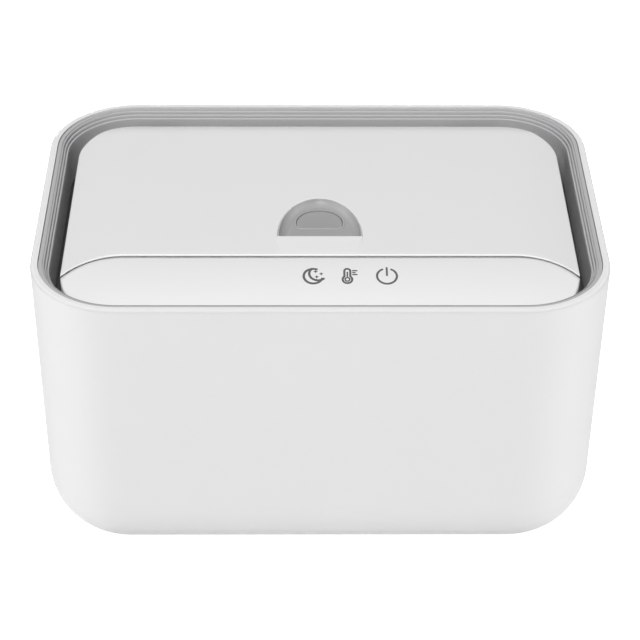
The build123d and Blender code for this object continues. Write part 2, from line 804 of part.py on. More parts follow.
with BuildPart() as control_panel:
    add(top_form.fillet(edge_radius, upper_outline(top_form)))
    add(front_zone(-seam_gap / 2, lid_top + 1, deck_top), mode=Mode.INTERSECT)
    add(panel_room.part, mode=Mode.SUBTRACT)
    with Locations(*at_level(panel_spots, deck_top)):
        Cylinder(post_radius, lid_top - deck_top, align=(Align.CENTER, Align.CENTER, Align.MIN))
    add(top_form, mode=Mode.INTERSECT)
    with Locations(*at_level(panel_spots, deck_bottom)):
        add(short_seat, rotation=upward, mode=Mode.SUBTRACT)
    with Locations((0, crease_y, deck_top)):
        Box(
            keeper_width + 2 * keeper_gap,
            2 * (panel_wall + seam_gap) + 2.0,
            keeper_height + keeper_gap,
            align=(Align.CENTER, Align.CENTER, Align.MIN),
            mode=Mode.SUBTRACT,
        )
finish(control_panel, "control_panel")

with BuildPart() as panel_screws:
    with Locations(*at_level(panel_spots, deck_bottom)):
        add(short_screw, rotation=upward)
finish(panel_screws, "panel_screws")

with BuildPart() as latch_keeper:
    with Locations((0, keeper_back, deck_top)):
        Box(keeper_width, keeper_thickness, keeper_height, align=(Align.CENTER, Align.MAX, Align.MIN))
        Box(keeper_width, keeper_foot, keeper_thickness, align=(Align.CENTER, Align.MAX, Align.MIN))
    with Locations((0, keeper_back, cam_level)):
        Box(
            bolt_width + 2 * keeper_window,
            4 * keeper_thickness,
            bolt_thickness + 4 * keeper_gap,
            mode=Mode.SUBTRACT,
        )
finish(latch_keeper, "latch_keeper")

panel_under = Plane(
    origin=(touch_centre, crease_y, lid_top - panel_skin),
    x_dir=(1, 0, 0),
    z_dir=(0, -sin(radians(facet_angle)), cos(radians(facet_angle))),
)
with BuildPart() as touch_board:
    with BuildSketch(panel_under.offset(-touch_thickness - touch_gap)):
        with Locations((0, touch_row)):
            RectangleRounded(touch_width, touch_depth, 1.5)
    extrude(amount=touch_thickness)
    with BuildSketch(panel_under.offset(-touch_thickness - touch_gap)):
        with Locations(*[(x - touch_centre, touch_row + 2) for x in icon_places]):
            Rectangle(lamp_width, 0.8 * lamp_width)
        with Locations((ribbon_x - touch_centre, connector_row)):
            Rectangle(ribbon_width + 3, connector_depth)
    extrude(amount=-connector_height)
finish(touch_board, "touch_board")

ribbon_low = board_top + 2.0
with BuildPart() as ribbon_cable:
    with BuildLine(Plane.YZ.offset(ribbon_x)):
        path = FilletPolyline(
            (ribbon_start_y, ribbon_start_z),
            (ribbon_y, ribbon_start_z),
            (ribbon_y, ribbon_low),
            (ribbon_end, ribbon_low),
            radius=ribbon_bend,
        )
    with BuildSketch(Plane(origin=path @ 0, x_dir=(1, 0, 0), z_dir=path % 0)):
        Rectangle(ribbon_width, ribbon_thickness)
    sweep()
finish(ribbon_cable, "ribbon_cable")

# ---------------------------------------------------------------- lid
lid_seam = seam_gap / 2
lid_form = top_form - front_zone(lid_seam, lid_top + 2, deck_top - 1, lid_front_draft)
with BuildPart() as lid_room:
    add(crowned_top(lid_wall, lid_skin, skirt_bottom - 1))
    add(front_zone(lid_seam + lid_wall, lid_top, deck_top - 1, lid_front_draft), mode=Mode.SUBTRACT)

with BuildPart() as lid_shell:
    add(lid_form.fillet(edge_radius, upper_outline(lid_form)))
    with Locations((0, 0, skirt_bottom)):
        Box(
            body_width,
            body_depth,
            deck_depth,
            align=(Align.CENTER, Align.CENTER, Align.MAX),
            mode=Mode.SUBTRACT,
        )
    add(lid_room.part, mode=Mode.SUBTRACT)
    # the skirt rises towards the hinge so that it clears the deck as it turns
    relief_start = hinge_y - relief_setback
    with BuildSketch(Plane.YZ):
        with BuildLine():
            Polyline(
                (relief_start, skirt_bottom),
                (relief_start + relief_height, skirt_bottom + relief_height),
                (body_depth, skirt_bottom + relief_height),
                (body_depth, skirt_bottom),
                close=True,
            )
        make_face()
    extrude(amount=body_width, both=True, mode=Mode.SUBTRACT)
    with Locations(*at_level(liner_spots, liner_top)):
        Cylinder(post_radius, skin_bottom - liner_top + 1, align=(Align.CENTER, Align.CENTER, Align.MIN))
    # room for the fixed ears under the skin and through the rear wall
    ear_middles = [(start + ear_width / 2, hinge_y, hinge_z) for start in ear_starts]
    with Locations(*[Location(middle, (0, 90, 0)) for middle in ear_middles]):
        Cylinder(hinge_radius + ear_gap, ear_width + 2 * ear_gap, mode=Mode.SUBTRACT)
    with Locations(*ear_middles):
        Box(
            ear_width + 2 * ear_gap,
            ear_reach,
            hinge_radius + ear_gap,
            align=(Align.CENTER, Align.MIN, Align.MIN),
            mode=Mode.SUBTRACT,
        )
    with Locations(*[(side * hinge_centre, top_depth / 2 - lid_wall, skin_bottom) for side in (-1, 1)]):
        Box(
            pin_length + 2 * ear_gap,
            3 * lid_wall,
            deck_depth,
            align=(Align.CENTER, Align.CENTER, Align.MAX),
            mode=Mode.SUBTRACT,
        )
    with BuildSketch(*[Plane.YZ.offset(side * hinge_centre - knuckle_width / 2) for side in (-1, 1)]):
        with Locations(axis_level):
            Circle(hinge_radius)
        with Locations((hinge_y, (hinge_z + skin_bottom + 1) / 2)):
            Rectangle(2 * hinge_radius, skin_bottom + 1 - hinge_z)
    extrude(amount=knuckle_width)
    with Locations(Location((0, hinge_y, hinge_z), (0, 90, 0))):
        Cylinder(pin_radius + pin_fit, 2 * hinge_centre + pin_length, mode=Mode.SUBTRACT)
    with Locations((0, crease_y, cam_level)):
        Box(
            bolt_width + 2 * bolt_side_gap,
            4 * lid_wall,
            bolt_thickness + 2 * bolt_side_gap,
            mode=Mode.SUBTRACT,
        )
    with Locations(*at_level(liner_spots, liner_bottom)):
        add(short_seat, rotation=upward, mode=Mode.SUBTRACT)
    with BuildSketch(Plane.XY.offset(liner_top)):
        half_moon(scoop_half_width + scoop_fit, scoop_length + scoop_fit, scoop_front - scoop_fit)
    extrude(amount=lid_top, mode=Mode.SUBTRACT)
    # the skin swells up in front of the scoop so that a fingertip finds its edge
    with BuildSketch(Plane.XZ.offset(scoop_fit - scoop_front)):
        with Locations((0, lid_top)):
            Trapezoid(2 * scoop_half_width + 2, 2 * lip_rise, 45)
    with BuildSketch(Plane.XZ.offset(-crease_y - 2 * edge_radius - lid_seam)):
        with Locations((0, lid_top)):
            Trapezoid(2 * scoop_half_width - 4, 0.1, 45)
    loft(ruled=True)
finish(lid_shell, "lid_shell")


def seal_ring():
    """The seal's outline, along the middle of the collar's wall, in the sketch that is open."""
    middle = collar_wall / 2
    mouth(middle + seal_width / 2)
    with Locations((0, mouth_middle)):
        RectangleRounded(
            mouth_width + 2 * middle - seal_width,
            mouth_length + 2 * middle - seal_width,
            mouth_radius + middle - seal_width / 2,
            mode=Mode.SUBTRACT,
        )


liner_edge = lid_wall + liner_gap
well_length = well_back - well_front
rail_x = (bolt_width + rail_width) / 2 + bolt_side_gap
with BuildPart() as lid_liner:
    add(crowned_top(liner_edge, lid_skin, liner_bottom))
    with Locations((0, 0, liner_top)):
        Box(
            body_width,
            body_depth,
            deck_depth,
            align=(Align.CENTER, Align.CENTER, Align.MIN),
            mode=Mode.SUBTRACT,
        )
    add(front_zone(lid_seam + liner_edge, lid_top, deck_top - 1, lid_front_draft), mode=Mode.SUBTRACT)
    with Locations((0, hinge_y - liner_setback, liner_bottom)):
        Box(
            body_width,
            body_depth,
            deck_depth,
            align=(Align.CENTER, Align.MIN, Align.CENTER),
            mode=Mode.SUBTRACT,
        )
    with Locations((0, (well_front + well_back) / 2, liner_top)):
        Box(
            well_width + 2 * well_wall,
            well_length + 2 * well_wall,
            liner_top - well_floor + well_wall,
            align=(Align.CENTER, Align.CENTER, Align.MAX),
        )
        Box(
            well_width,
            well_length,
            liner_top - well_floor,
            align=(Align.CENTER, Align.CENTER, Align.MAX),
            mode=Mode.SUBTRACT,
        )
    with Locations(*[(side * rail_x, rail_front, liner_top) for side in (-1, 1)]):
        Box(
            rail_width,
            well_front - well_wall - rail_front,
            bolt_lift + bolt_thickness,
            align=(Align.CENTER, Align.MIN, Align.MIN),
        )
    with BuildSketch(Plane.XY.offset(liner_bottom)):
        seal_ring()
    extrude(amount=seal_bite, mode=Mode.SUBTRACT)
    with Locations(*at_level(liner_spots, liner_bottom)):
        add(short_seat, rotation=upward, mode=Mode.SUBTRACT)
finish(lid_liner, "lid_liner")

with BuildPart() as lid_seal:
    with BuildSketch(Plane.XY.offset(seal_bottom)):
        seal_ring()
    extrude(amount=seal_thickness)
finish(lid_seal, "lid_seal")

with BuildPart() as liner_screws:
    with Locations(*at_level(liner_spots, liner_bottom)):
        add(short_screw, rotation=upward)
finish(liner_screws, "liner_screws")


# ---------------------------------------------------------------- scoop, release button and latch
def button_outline(grow):
    """Half-moon pad with rounded front corners, let out by grow, in the sketch that is open."""
    half = button_width / 2 + grow
    front = button_front - grow
    corner = button_corner + grow
    shoulder = front + button_shoulder
    with BuildLine() as outline:
        straight = Line((0, front), (half - corner, front))
        turn = JernArc(straight @ 1, (1, 0), corner, 90)
        Line(turn @ 1, (half, shoulder))
        EllipticalCenterArc((0, shoulder), half, button_back + grow - shoulder, 0, arc_size=90)
        mirror(about=Plane.YZ)
    return make_face(outline.edges())


def cam_bar(thickness, bottom, top):
    """Outline, seen from the side, of a bar that leans back at 45 degrees as it rises."""
    foot = cam_y + bottom - cam_level
    head = cam_y + top - cam_level
    with BuildLine() as outline:
        Polyline(
            (foot - thickness / 2, bottom),
            (foot + thickness / 2, bottom),
            (head + thickness / 2, top),
            (head - thickness / 2, top),
            close=True,
        )
    return make_face(outline.edges())


with BuildPart() as scoop_room:
    with BuildSketch(Plane.XY.offset(lid_top)):
        half_moon(scoop_half_width - scoop_rim, scoop_length - 2 * scoop_rim, scoop_front + scoop_rim)
    with BuildSketch(scoop_floor):
        half_moon(scoop_half_width - scoop_bevel, scoop_length - scoop_rim - scoop_bevel, scoop_rim)
    loft()

scoop_bottom = button_bottom - 1.5
with BuildPart() as grip_scoop:
    with BuildSketch(Plane.XY.offset(scoop_bottom)):
        half_moon(scoop_half_width, scoop_length, scoop_front)
    extrude(amount=lid_top - scoop_bottom)
    with BuildSketch(Plane.XY.offset(skin_bottom)):
        half_moon(
            scoop_half_width + scoop_flange,
            scoop_length + 2 * scoop_flange,
            scoop_front - scoop_flange,
        )
    extrude(amount=-scoop_flange_thickness)
    split(bisect_by=scoop_floor.offset(-scoop_skin), keep=Keep.TOP)
    with BuildSketch(Plane.XY.offset(button_bottom + 0.2)):
        button_outline(button_gap + button_guide)
    extrude(amount=scoop_skin + 1.0)
    add(scoop_room.part, mode=Mode.SUBTRACT)
    with BuildSketch(Plane.XY.offset(scoop_bottom)):
        button_outline(button_gap)
    extrude(amount=lid_top - scoop_bottom, mode=Mode.SUBTRACT)
finish(grip_scoop, "grip_scoop")

tab_x = button_width / 2 - 0.4
tab_y = button_front + button_shoulder + 0.3 * tab_depth
with BuildPart() as release_button:
    with BuildSketch(Plane.XY.offset(button_bottom)):
        button_outline(0)
    extrude(amount=lid_top - button_bottom)
    split(bisect_by=scoop_floor.offset(-button_sink), keep=Keep.BOTTOM)
    with Locations(*[(side * tab_x, tab_y, button_bottom) for side in (-1, 1)]):
        Box(tab_width, tab_depth, tab_thickness, align=(Align.CENTER, Align.CENTER, Align.MAX))
    with BuildSketch(Plane.YZ):
        cam_bar(cam_thickness, bolt_bottom - 0.4, button_bottom + 0.2)
    extrude(amount=cam_width / 2, both=True)
finish(release_button, "release_button")

spring_bottom = well_floor + spring_wire / 2 + spring_play
spring_height = button_bottom - well_floor - spring_wire - 2 * spring_play
with BuildPart() as button_spring:
    with BuildLine():
        coil = Helix(
            spring_height / spring_turns,
            spring_height,
            spring_radius,
            center=(0, spring_y, spring_bottom),
        )
    with BuildSketch(Plane(origin=coil @ 0, z_dir=coil % 0)):
        Circle(spring_wire / 2)
    sweep(is_frenet=True)
finish(button_spring, "button_spring")

bolt_tip = keeper_back - bolt_engagement
with BuildPart() as latch_bolt:
    with BuildSketch(Plane.YZ):
        with BuildLine():
            Polyline(
                (bolt_tip, bolt_bottom + bolt_chamfer),
                (bolt_tip + bolt_chamfer, bolt_bottom),
                (bolt_rear, bolt_bottom),
                (bolt_rear, bolt_top),
                (bolt_tip, bolt_top),
                close=True,
            )
        make_face()
    extrude(amount=bolt_width / 2, both=True)
    with BuildSketch(Plane.YZ):
        cam_bar(cam_thickness + 2 * cam_clearance, bolt_bottom, bolt_top)
    extrude(amount=cam_width / 2 + cam_clearance, both=True, mode=Mode.SUBTRACT)
finish(latch_bolt, "latch_bolt")
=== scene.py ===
from math import radians

import bmesh
import bpy
import numpy as np
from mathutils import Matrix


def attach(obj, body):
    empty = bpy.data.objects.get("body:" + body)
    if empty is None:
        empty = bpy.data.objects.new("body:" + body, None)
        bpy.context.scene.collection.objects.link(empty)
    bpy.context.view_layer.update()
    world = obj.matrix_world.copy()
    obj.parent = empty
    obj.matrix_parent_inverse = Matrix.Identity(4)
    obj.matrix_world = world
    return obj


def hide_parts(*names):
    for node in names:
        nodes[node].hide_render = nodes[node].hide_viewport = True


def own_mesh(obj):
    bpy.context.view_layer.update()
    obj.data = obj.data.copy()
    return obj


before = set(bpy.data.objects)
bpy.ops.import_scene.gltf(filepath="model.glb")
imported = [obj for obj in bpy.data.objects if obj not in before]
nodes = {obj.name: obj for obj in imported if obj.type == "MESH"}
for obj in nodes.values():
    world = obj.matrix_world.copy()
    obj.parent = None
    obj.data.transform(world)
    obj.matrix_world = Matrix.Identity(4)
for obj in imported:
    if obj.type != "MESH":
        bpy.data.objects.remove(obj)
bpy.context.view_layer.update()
print("frame loaded:", len(nodes), "nodes")

# place in metres, directions as unit vectors, and focal length in mm
camera = {
    "place": (-0.0112, -0.76213, 0.60432),
    "forward": (0.012776, 0.819055, -0.57358),
    "right": (0.999918, -0.010599, 0.007139),
    "lens": 121.32,
}


def placeCamera(spec):
    eye = bpy.data.objects.new("camera", bpy.data.cameras.new("camera"))
    forward = np.array(spec["forward"])
    right = np.array(spec["right"])
    turned = np.eye(4)
    turned[:3, 0] = right
    turned[:3, 1] = np.cross(right, forward)
    turned[:3, 2] = -forward
    turned[:3, 3] = spec["place"]
    eye.matrix_world = turned.T.tolist()
    eye.data.lens = spec["lens"]
    eye.data.clip_end = 20.0
    bpy.context.scene.collection.objects.link(eye)
    bpy.context.scene.camera = eye


placeCamera(camera)

# place, aim and size in metres, power in watts
softLamps = {
    "overhead": {"place": (0.0, 0.0, 1.6), "aim": (0.0, 0.0, 0.1), "size": (0.6, 1.3), "power": 9.0},
    "front": {"place": (-0.4, -2.9, 3.0), "aim": (0.0, 0.0, 0.1), "size": (1.6, 1.2), "power": 140.0},
    "leftLow": {"place": (-1.45, -0.35, 0.065), "aim": (-0.06, 0.0, 0.06), "size": (0.5, 0.11), "power": 11.0},
    "rightLow": {"place": (1.45, -0.35, 0.065), "aim": (0.06, 0.0, 0.06), "size": (0.5, 0.11), "power": 12.3},
    "backLow": {"place": (0.0, 1.5, 0.065), "aim": (0.0, 0.08, 0.06), "size": (1.2, 0.11), "power": 22.0},
    "kicker": {"place": (0.0, -0.5, 0.02), "aim": (0.0, -0.08, 0.045), "size": (0.9, 0.05), "power": 0.36},
}


def hangLamp(name, spec):
    lamp = bpy.data.lights.new(name, "AREA")
    lamp.shape = "RECTANGLE"
    lamp.size, lamp.size_y = spec["size"]
    lamp.energy = spec["power"]
    holder = bpy.data.objects.new(name, lamp)
    place = np.array(spec["place"])
    away = place - np.array(spec["aim"])
    away /= np.linalg.norm(away)
    side = np.cross((0.0, 0.0, 1.0), away) if abs(away[2]) < 0.99 else np.array((1.0, 0.0, 0.0))
    side /= np.linalg.norm(side)
    turned = np.eye(4)
    turned[:3, 0], turned[:3, 1], turned[:3, 2], turned[:3, 3] = side, np.cross(away, side), away, place
    holder.matrix_world = turned.T.tolist()
    holder.visible_camera = False
    bpy.context.scene.collection.objects.link(holder)


for lampName, lampSpec in softLamps.items():
    hangLamp(lampName, lampSpec)


def feed(tree, value, socket):
    # a number is set on the socket, another node's output is linked to it
    if isinstance(value, (int, float)):
        socket.default_value = value
    else:
        tree.links.new(value, socket)


def mathNode(tree, operation, *values):
    node = tree.nodes.new("ShaderNodeMath")
    node.operation = operation
    for value, socket in zip(values, node.inputs):
        feed(tree, value, socket)
    return node.outputs[0]


# the floor's colour seen directly and as a bounce on the object, its lift, and half its width in metres
studio = {
    "ambient": 0.02,
    "floorColour": (0.8, 0.8, 0.8, 1.0),
    "floorBounce": (0.42, 0.42, 0.42, 1.0),
    "floorLift": 0.75,
    "floorHalf": 6.0,
}


def chooseSeen(tree, hidden, direct, surface):
    # the direct shader where the eye, a mirror-like surface or clear material looks straight at it
    path = tree.nodes.new("ShaderNodeLightPath")
    looks = mathNode(tree, "MAXIMUM", path.outputs["Is Camera Ray"], path.outputs["Is Glossy Ray"])
    looks = mathNode(tree, "MAXIMUM", looks, path.outputs["Is Transmission Ray"])
    choose = tree.nodes.new("ShaderNodeMixShader")
    tree.links.new(looks, choose.inputs["Fac"])
    tree.links.new(hidden, choose.inputs[1])
    tree.links.new(direct, choose.inputs[2])
    tree.links.new(choose.outputs[0], surface)


def wireStudio(spec):
    world = bpy.data.worlds.new("studio")
    world.use_nodes = True
    bpy.context.scene.world = world
    tree = world.node_tree
    tree.nodes.clear()
    out = tree.nodes.new("ShaderNodeOutputWorld")
    dim = tree.nodes.new("ShaderNodeBackground")
    dim.inputs["Color"].default_value = (1.0, 1.0, 1.0, 1.0)
    dim.inputs["Strength"].default_value = spec["ambient"]
    plain = tree.nodes.new("ShaderNodeBackground")
    plain.inputs["Color"].default_value = (1.0, 1.0, 1.0, 1.0)
    chooseSeen(tree, dim.outputs[0], plain.outputs[0], out.inputs["Surface"])


def layFloor(spec):
    half = spec["floorHalf"]
    mesh = bpy.data.meshes.new("floor")
    corners = [(-half, -half, 0), (half, -half, 0), (half, half, 0), (-half, half, 0)]
    mesh.from_pydata(corners, [], [(0, 1, 2, 3)])
    floor = bpy.data.objects.new("floor", mesh)
    bpy.context.scene.collection.objects.link(floor)
    paint = bpy.data.materials.new("floor")
    paint.use_nodes = True
    tree = paint.node_tree
    tree.nodes.clear()
    out = tree.nodes.new("ShaderNodeOutputMaterial")
    matt = tree.nodes.new("ShaderNodeBsdfDiffuse")
    matt.inputs["Color"].default_value = spec["floorColour"]
    bounce = tree.nodes.new("ShaderNodeBsdfDiffuse")
    bounce.inputs["Color"].default_value = spec["floorBounce"]
    glow = tree.nodes.new("ShaderNodeEmission")
    glow.inputs["Strength"].default_value = spec["floorLift"]
    both = tree.nodes.new("ShaderNodeAddShader")
    tree.links.new(matt.outputs[0], both.inputs[0])
    tree.links.new(glow.outputs[0], both.inputs[1])
    chooseSeen(tree, bounce.outputs[0], both.outputs[0], out.inputs["Surface"])
    mesh.materials.append(paint)


wireStudio(studio)
layFloor(studio)
bpy.context.scene.view_settings.view_transform = "Standard"
print("camera, lamps and floor placed")


def newGroup(name, inputs, outputs):
    group = bpy.data.node_groups.new(name, "ShaderNodeTree")
    for label, kind, value in inputs:
        socket = group.interface.new_socket(name=label, in_out="INPUT", socket_type=kind)
        if value is not None:
            socket.default_value = value
    for label, kind in outputs:
        group.interface.new_socket(name=label, in_out="OUTPUT", socket_type=kind)
    return group, group.nodes.new("NodeGroupInput"), group.nodes.new("NodeGroupOutput")


def noiseNode(tree, vector, scale, detail=2.0, roughness=0.5):
    node = tree.nodes.new("ShaderNodeTexNoise")
    tree.links.new(vector, node.inputs["Vector"])
    feed(tree, scale, node.inputs["Scale"])
    node.inputs["Detail"].default_value = detail
    node.inputs["Roughness"].default_value = roughness
    return node.outputs["Fac"]


def scaleColour(tree, colour, factor, target):
    # the colour times the factor, led on to the target socket
    tint = tree.nodes.new("ShaderNodeVectorMath")
    tint.operation = "SCALE"
    tree.links.new(colour, tint.inputs[0])
    tree.links.new(factor, tint.inputs["Scale"])
    tree.links.new(tint.outputs[0], target)


def makeMouldedGrain():
    # fine spark-eroded grain, broad cloudiness of the moulding, and a faint sheen map left by handling
    group, given, result = newGroup(
        "mouldedGrain",
        [
            ("Vector", "NodeSocketVector", None),
            ("Colour", "NodeSocketColor", (0.8, 0.8, 0.8, 1.0)),
            ("Grain scale", "NodeSocketFloat", 4000.0),
            ("Cloud scale", "NodeSocketFloat", 18.0),
            ("Tone", "NodeSocketFloat", 0.03),
            ("Roughness", "NodeSocketFloat", 0.4),
            ("Sheen map", "NodeSocketFloat", 0.08),
        ],
        [("Colour", "NodeSocketColor"), ("Roughness", "NodeSocketFloat"), ("Height", "NodeSocketFloat")],
    )
    vector = given.outputs["Vector"]
    grain = noiseNode(group, vector, given.outputs["Grain scale"], 3.0, 0.65)
    cloud = noiseNode(group, vector, given.outputs["Cloud scale"], 4.0, 0.55)
    handled = noiseNode(group, vector, 55.0, 5.0, 0.6)
    lift = mathNode(group, "SUBTRACT", cloud, 0.5)
    speck = mathNode(group, "SUBTRACT", grain, 0.5)
    shade = mathNode(group, "MULTIPLY_ADD", speck, 0.35, lift)
    factor = mathNode(group, "MULTIPLY_ADD", shade, given.outputs["Tone"], 1.0)
    scaleColour(group, given.outputs["Colour"], factor, result.inputs["Colour"])
    spread = mathNode(group, "SUBTRACT", handled, 0.5)
    rough = mathNode(group, "MULTIPLY_ADD", spread, given.outputs["Sheen map"], given.outputs["Roughness"])
    group.links.new(rough, result.inputs["Roughness"])
    group.links.new(grain, result.inputs["Height"])
    return group


def makeBrushedLines():
    # long shallow scratches along one direction
    group, given, result = newGroup(
        "brushedLines",
        [
            ("Vector", "NodeSocketVector", None),
            ("Colour", "NodeSocketColor", (0.6, 0.6, 0.6, 1.0)),
            ("Line scale", "NodeSocketFloat", 900.0),
            ("Stretch", "NodeSocketFloat", 0.03),
            ("Roughness", "NodeSocketFloat", 0.3),
        ],
        [("Colour", "NodeSocketColor"), ("Roughness", "NodeSocketFloat"), ("Height", "NodeSocketFloat")],
    )
    parts = group.nodes.new("ShaderNodeSeparateXYZ")
    joined = group.nodes.new("ShaderNodeCombineXYZ")
    group.links.new(given.outputs["Vector"], parts.inputs[0])
    stretched = mathNode(group, "MULTIPLY", parts.outputs["X"], given.outputs["Stretch"])
    group.links.new(stretched, joined.inputs["X"])
    group.links.new(parts.outputs["Y"], joined.inputs["Y"])
    group.links.new(parts.outputs["Z"], joined.inputs["Z"])
    lines = noiseNode(group, joined.outputs[0], given.outputs["Line scale"], 2.0, 0.6)
    spread = mathNode(group, "SUBTRACT", lines, 0.5)
    factor = mathNode(group, "MULTIPLY_ADD", spread, 0.16, 1.0)
    scaleColour(group, given.outputs["Colour"], factor, result.inputs["Colour"])
    rough = mathNode(group, "MULTIPLY_ADD", spread, 0.2, given.outputs["Roughness"])
    group.links.new(rough, result.inputs["Roughness"])
    group.links.new(lines, result.inputs["Height"])
    return group


mouldedGrain = makeMouldedGrain()
brushedLines = makeBrushedLines()

# colour, roughness, grain size and depth in mm, and spread of tone; index is the gloss where it isn't 1.48
finishes = {
    "housing_white": {"colour": (0.65, 0.65, 0.65), "rough": 0.6, "grain": 0.35, "depth": 0.006, "tone": 0.02},
    "trim_grey": {
        "colour": (0.44, 0.44, 0.445),
        "rough": 0.55,
        "index": 1.35,
        "grain": 0.3,
        "depth": 0.006,
        "tone": 0.04,
    },
    "panel_white": {"colour": (0.715, 0.715, 0.715), "rough": 0.4, "grain": 0.3, "depth": 0.002, "tone": 0.012},
    "lid_white": {"colour": (0.76, 0.76, 0.76), "rough": 0.45, "grain": 0.3, "depth": 0.004, "tone": 0.015},
    "inner_white": {"colour": (0.72, 0.72, 0.715), "rough": 0.55, "grain": 0.5, "depth": 0.01, "tone": 0.04},
    "scoop_grey": {"colour": (0.295, 0.295, 0.297), "rough": 0.42, "grain": 0.3, "depth": 0.005, "tone": 0.04},
    "button_grey": {"colour": (0.285, 0.285, 0.287), "rough": 0.4, "grain": 0.3, "depth": 0.005, "tone": 0.04},
    "tank_white": {"colour": (0.74, 0.74, 0.73), "rough": 0.32, "grain": 0.6, "depth": 0.006, "tone": 0.03},
    "silicone_grey": {"colour": (0.42, 0.43, 0.44), "rough": 0.7, "grain": 0.4, "depth": 0.01, "tone": 0.08},
    "rubber_dark": {"colour": (0.05, 0.05, 0.052), "rough": 0.8, "grain": 0.5, "depth": 0.02, "tone": 0.2},
    "tray_plastic": {"colour": (0.5, 0.5, 0.48), "rough": 0.55, "grain": 0.5, "depth": 0.01, "tone": 0.05},
    "pad_foam": {"colour": (0.55, 0.5, 0.38), "rough": 0.95, "grain": 1.4, "depth": 0.2, "tone": 0.5},
    "film_amber": {"colour": (0.42, 0.16, 0.02), "rough": 0.3, "grain": 2.5, "depth": 0.01, "tone": 0.2},
    "sensor_dark": {"colour": (0.03, 0.03, 0.033), "rough": 0.5, "grain": 0.3, "depth": 0.01, "tone": 0.2},
    "lead_black": {"colour": (0.02, 0.02, 0.02), "rough": 0.55, "grain": 0.4, "depth": 0.01, "tone": 0.2},
    "board_green": {"colour": (0.02, 0.13, 0.05), "rough": 0.35, "grain": 0.7, "depth": 0.01, "tone": 0.35},
    "inlet_black": {"colour": (0.025, 0.025, 0.027), "rough": 0.45, "grain": 0.3, "depth": 0.008, "tone": 0.2},
    "ribbon_white": {"colour": (0.7, 0.7, 0.67), "rough": 0.5, "grain": 0.9, "depth": 0.03, "tone": 0.15},
    "acetal_white": {"colour": (0.74, 0.74, 0.73), "rough": 0.34, "grain": 0.4, "depth": 0.004, "tone": 0.03},
}
metals = {
    "heater_aluminium": {"colour": (0.78, 0.78, 0.79), "rough": 0.34, "line": 0.25, "depth": 0.004},
    "steel_pin": {"colour": (0.6, 0.6, 0.61), "rough": 0.22, "line": 0.12, "depth": 0.002},
    "steel_screw": {"colour": (0.52, 0.52, 0.53), "rough": 0.3, "line": 0.15, "depth": 0.003},
}


def effectFinish(name, depth, effect, settings):
    # a shared effect gives the colour, the roughness and the height that the bump reads; depth is in mm
    material = bpy.data.materials.new(name)
    material.use_nodes = True
    tree = material.node_tree
    shader = tree.nodes["Principled BSDF"]
    where = tree.nodes.new("ShaderNodeTexCoord")
    bump = tree.nodes.new("ShaderNodeBump")
    bump.inputs["Strength"].default_value = 1.0
    bump.inputs["Distance"].default_value = depth * 0.001
    group = tree.nodes.new("ShaderNodeGroup")
    group.node_tree = effect
    for label, value in settings.items():
        group.inputs[label].default_value = value
    tree.links.new(where.outputs["Object"], group.inputs["Vector"])
    tree.links.new(group.outputs["Colour"], shader.inputs["Base Color"])
    tree.links.new(group.outputs["Roughness"], shader.inputs["Roughness"])
    tree.links.new(group.outputs["Height"], bump.inputs["Height"])
    tree.links.new(bump.outputs["Normal"], shader.inputs["Normal"])
    return material, shader


def plasticFinish(name, spec):
    settings = {"Colour": (*spec["colour"], 1.0), "Roughness": spec["rough"], "Tone": spec["tone"]}
    settings["Grain scale"] = 1000.0 / spec["grain"]
    material, shader = effectFinish(name, spec["depth"], mouldedGrain, settings)
    shader.inputs["IOR"].default_value = spec.get("index", 1.48)
    return material


def metalFinish(name, spec):
    settings = {"Colour": (*spec["colour"], 1.0), "Roughness": spec["rough"]}
    settings["Line scale"] = 1000.0 / spec["line"]
    material, shader = effectFinish(name, spec["depth"], brushedLines, settings)
    shader.inputs["Metallic"].default_value = 1.0
    return material


finish = {name: plasticFinish(name, spec) for name, spec in finishes.items()}
finish.update({name: metalFinish(name, spec) for name, spec in metals.items()})
for node in nodes.values():
    for place in node.material_slots:
        place.material = finish[place.material.name.split(".")[0]]


# painted light on the scoop's walls; lengths in metres; the painted gain grows with the share of the way from
# the scoop's floor to its rim
scoopPaintedLight = {
    "floorSlope": 0.10986,
    "floorMiddle": 0.12475,
    "rim": 0.1279,
    "startShare": 0.01,
    "foot": 0.3,
    "footRate": 6.0,
    "rise": 0.3,
    "riseRate": 1.5,
    "besideRate": 117.6,
    "besideOffset": 0.176,
    "most": 0.6,
}


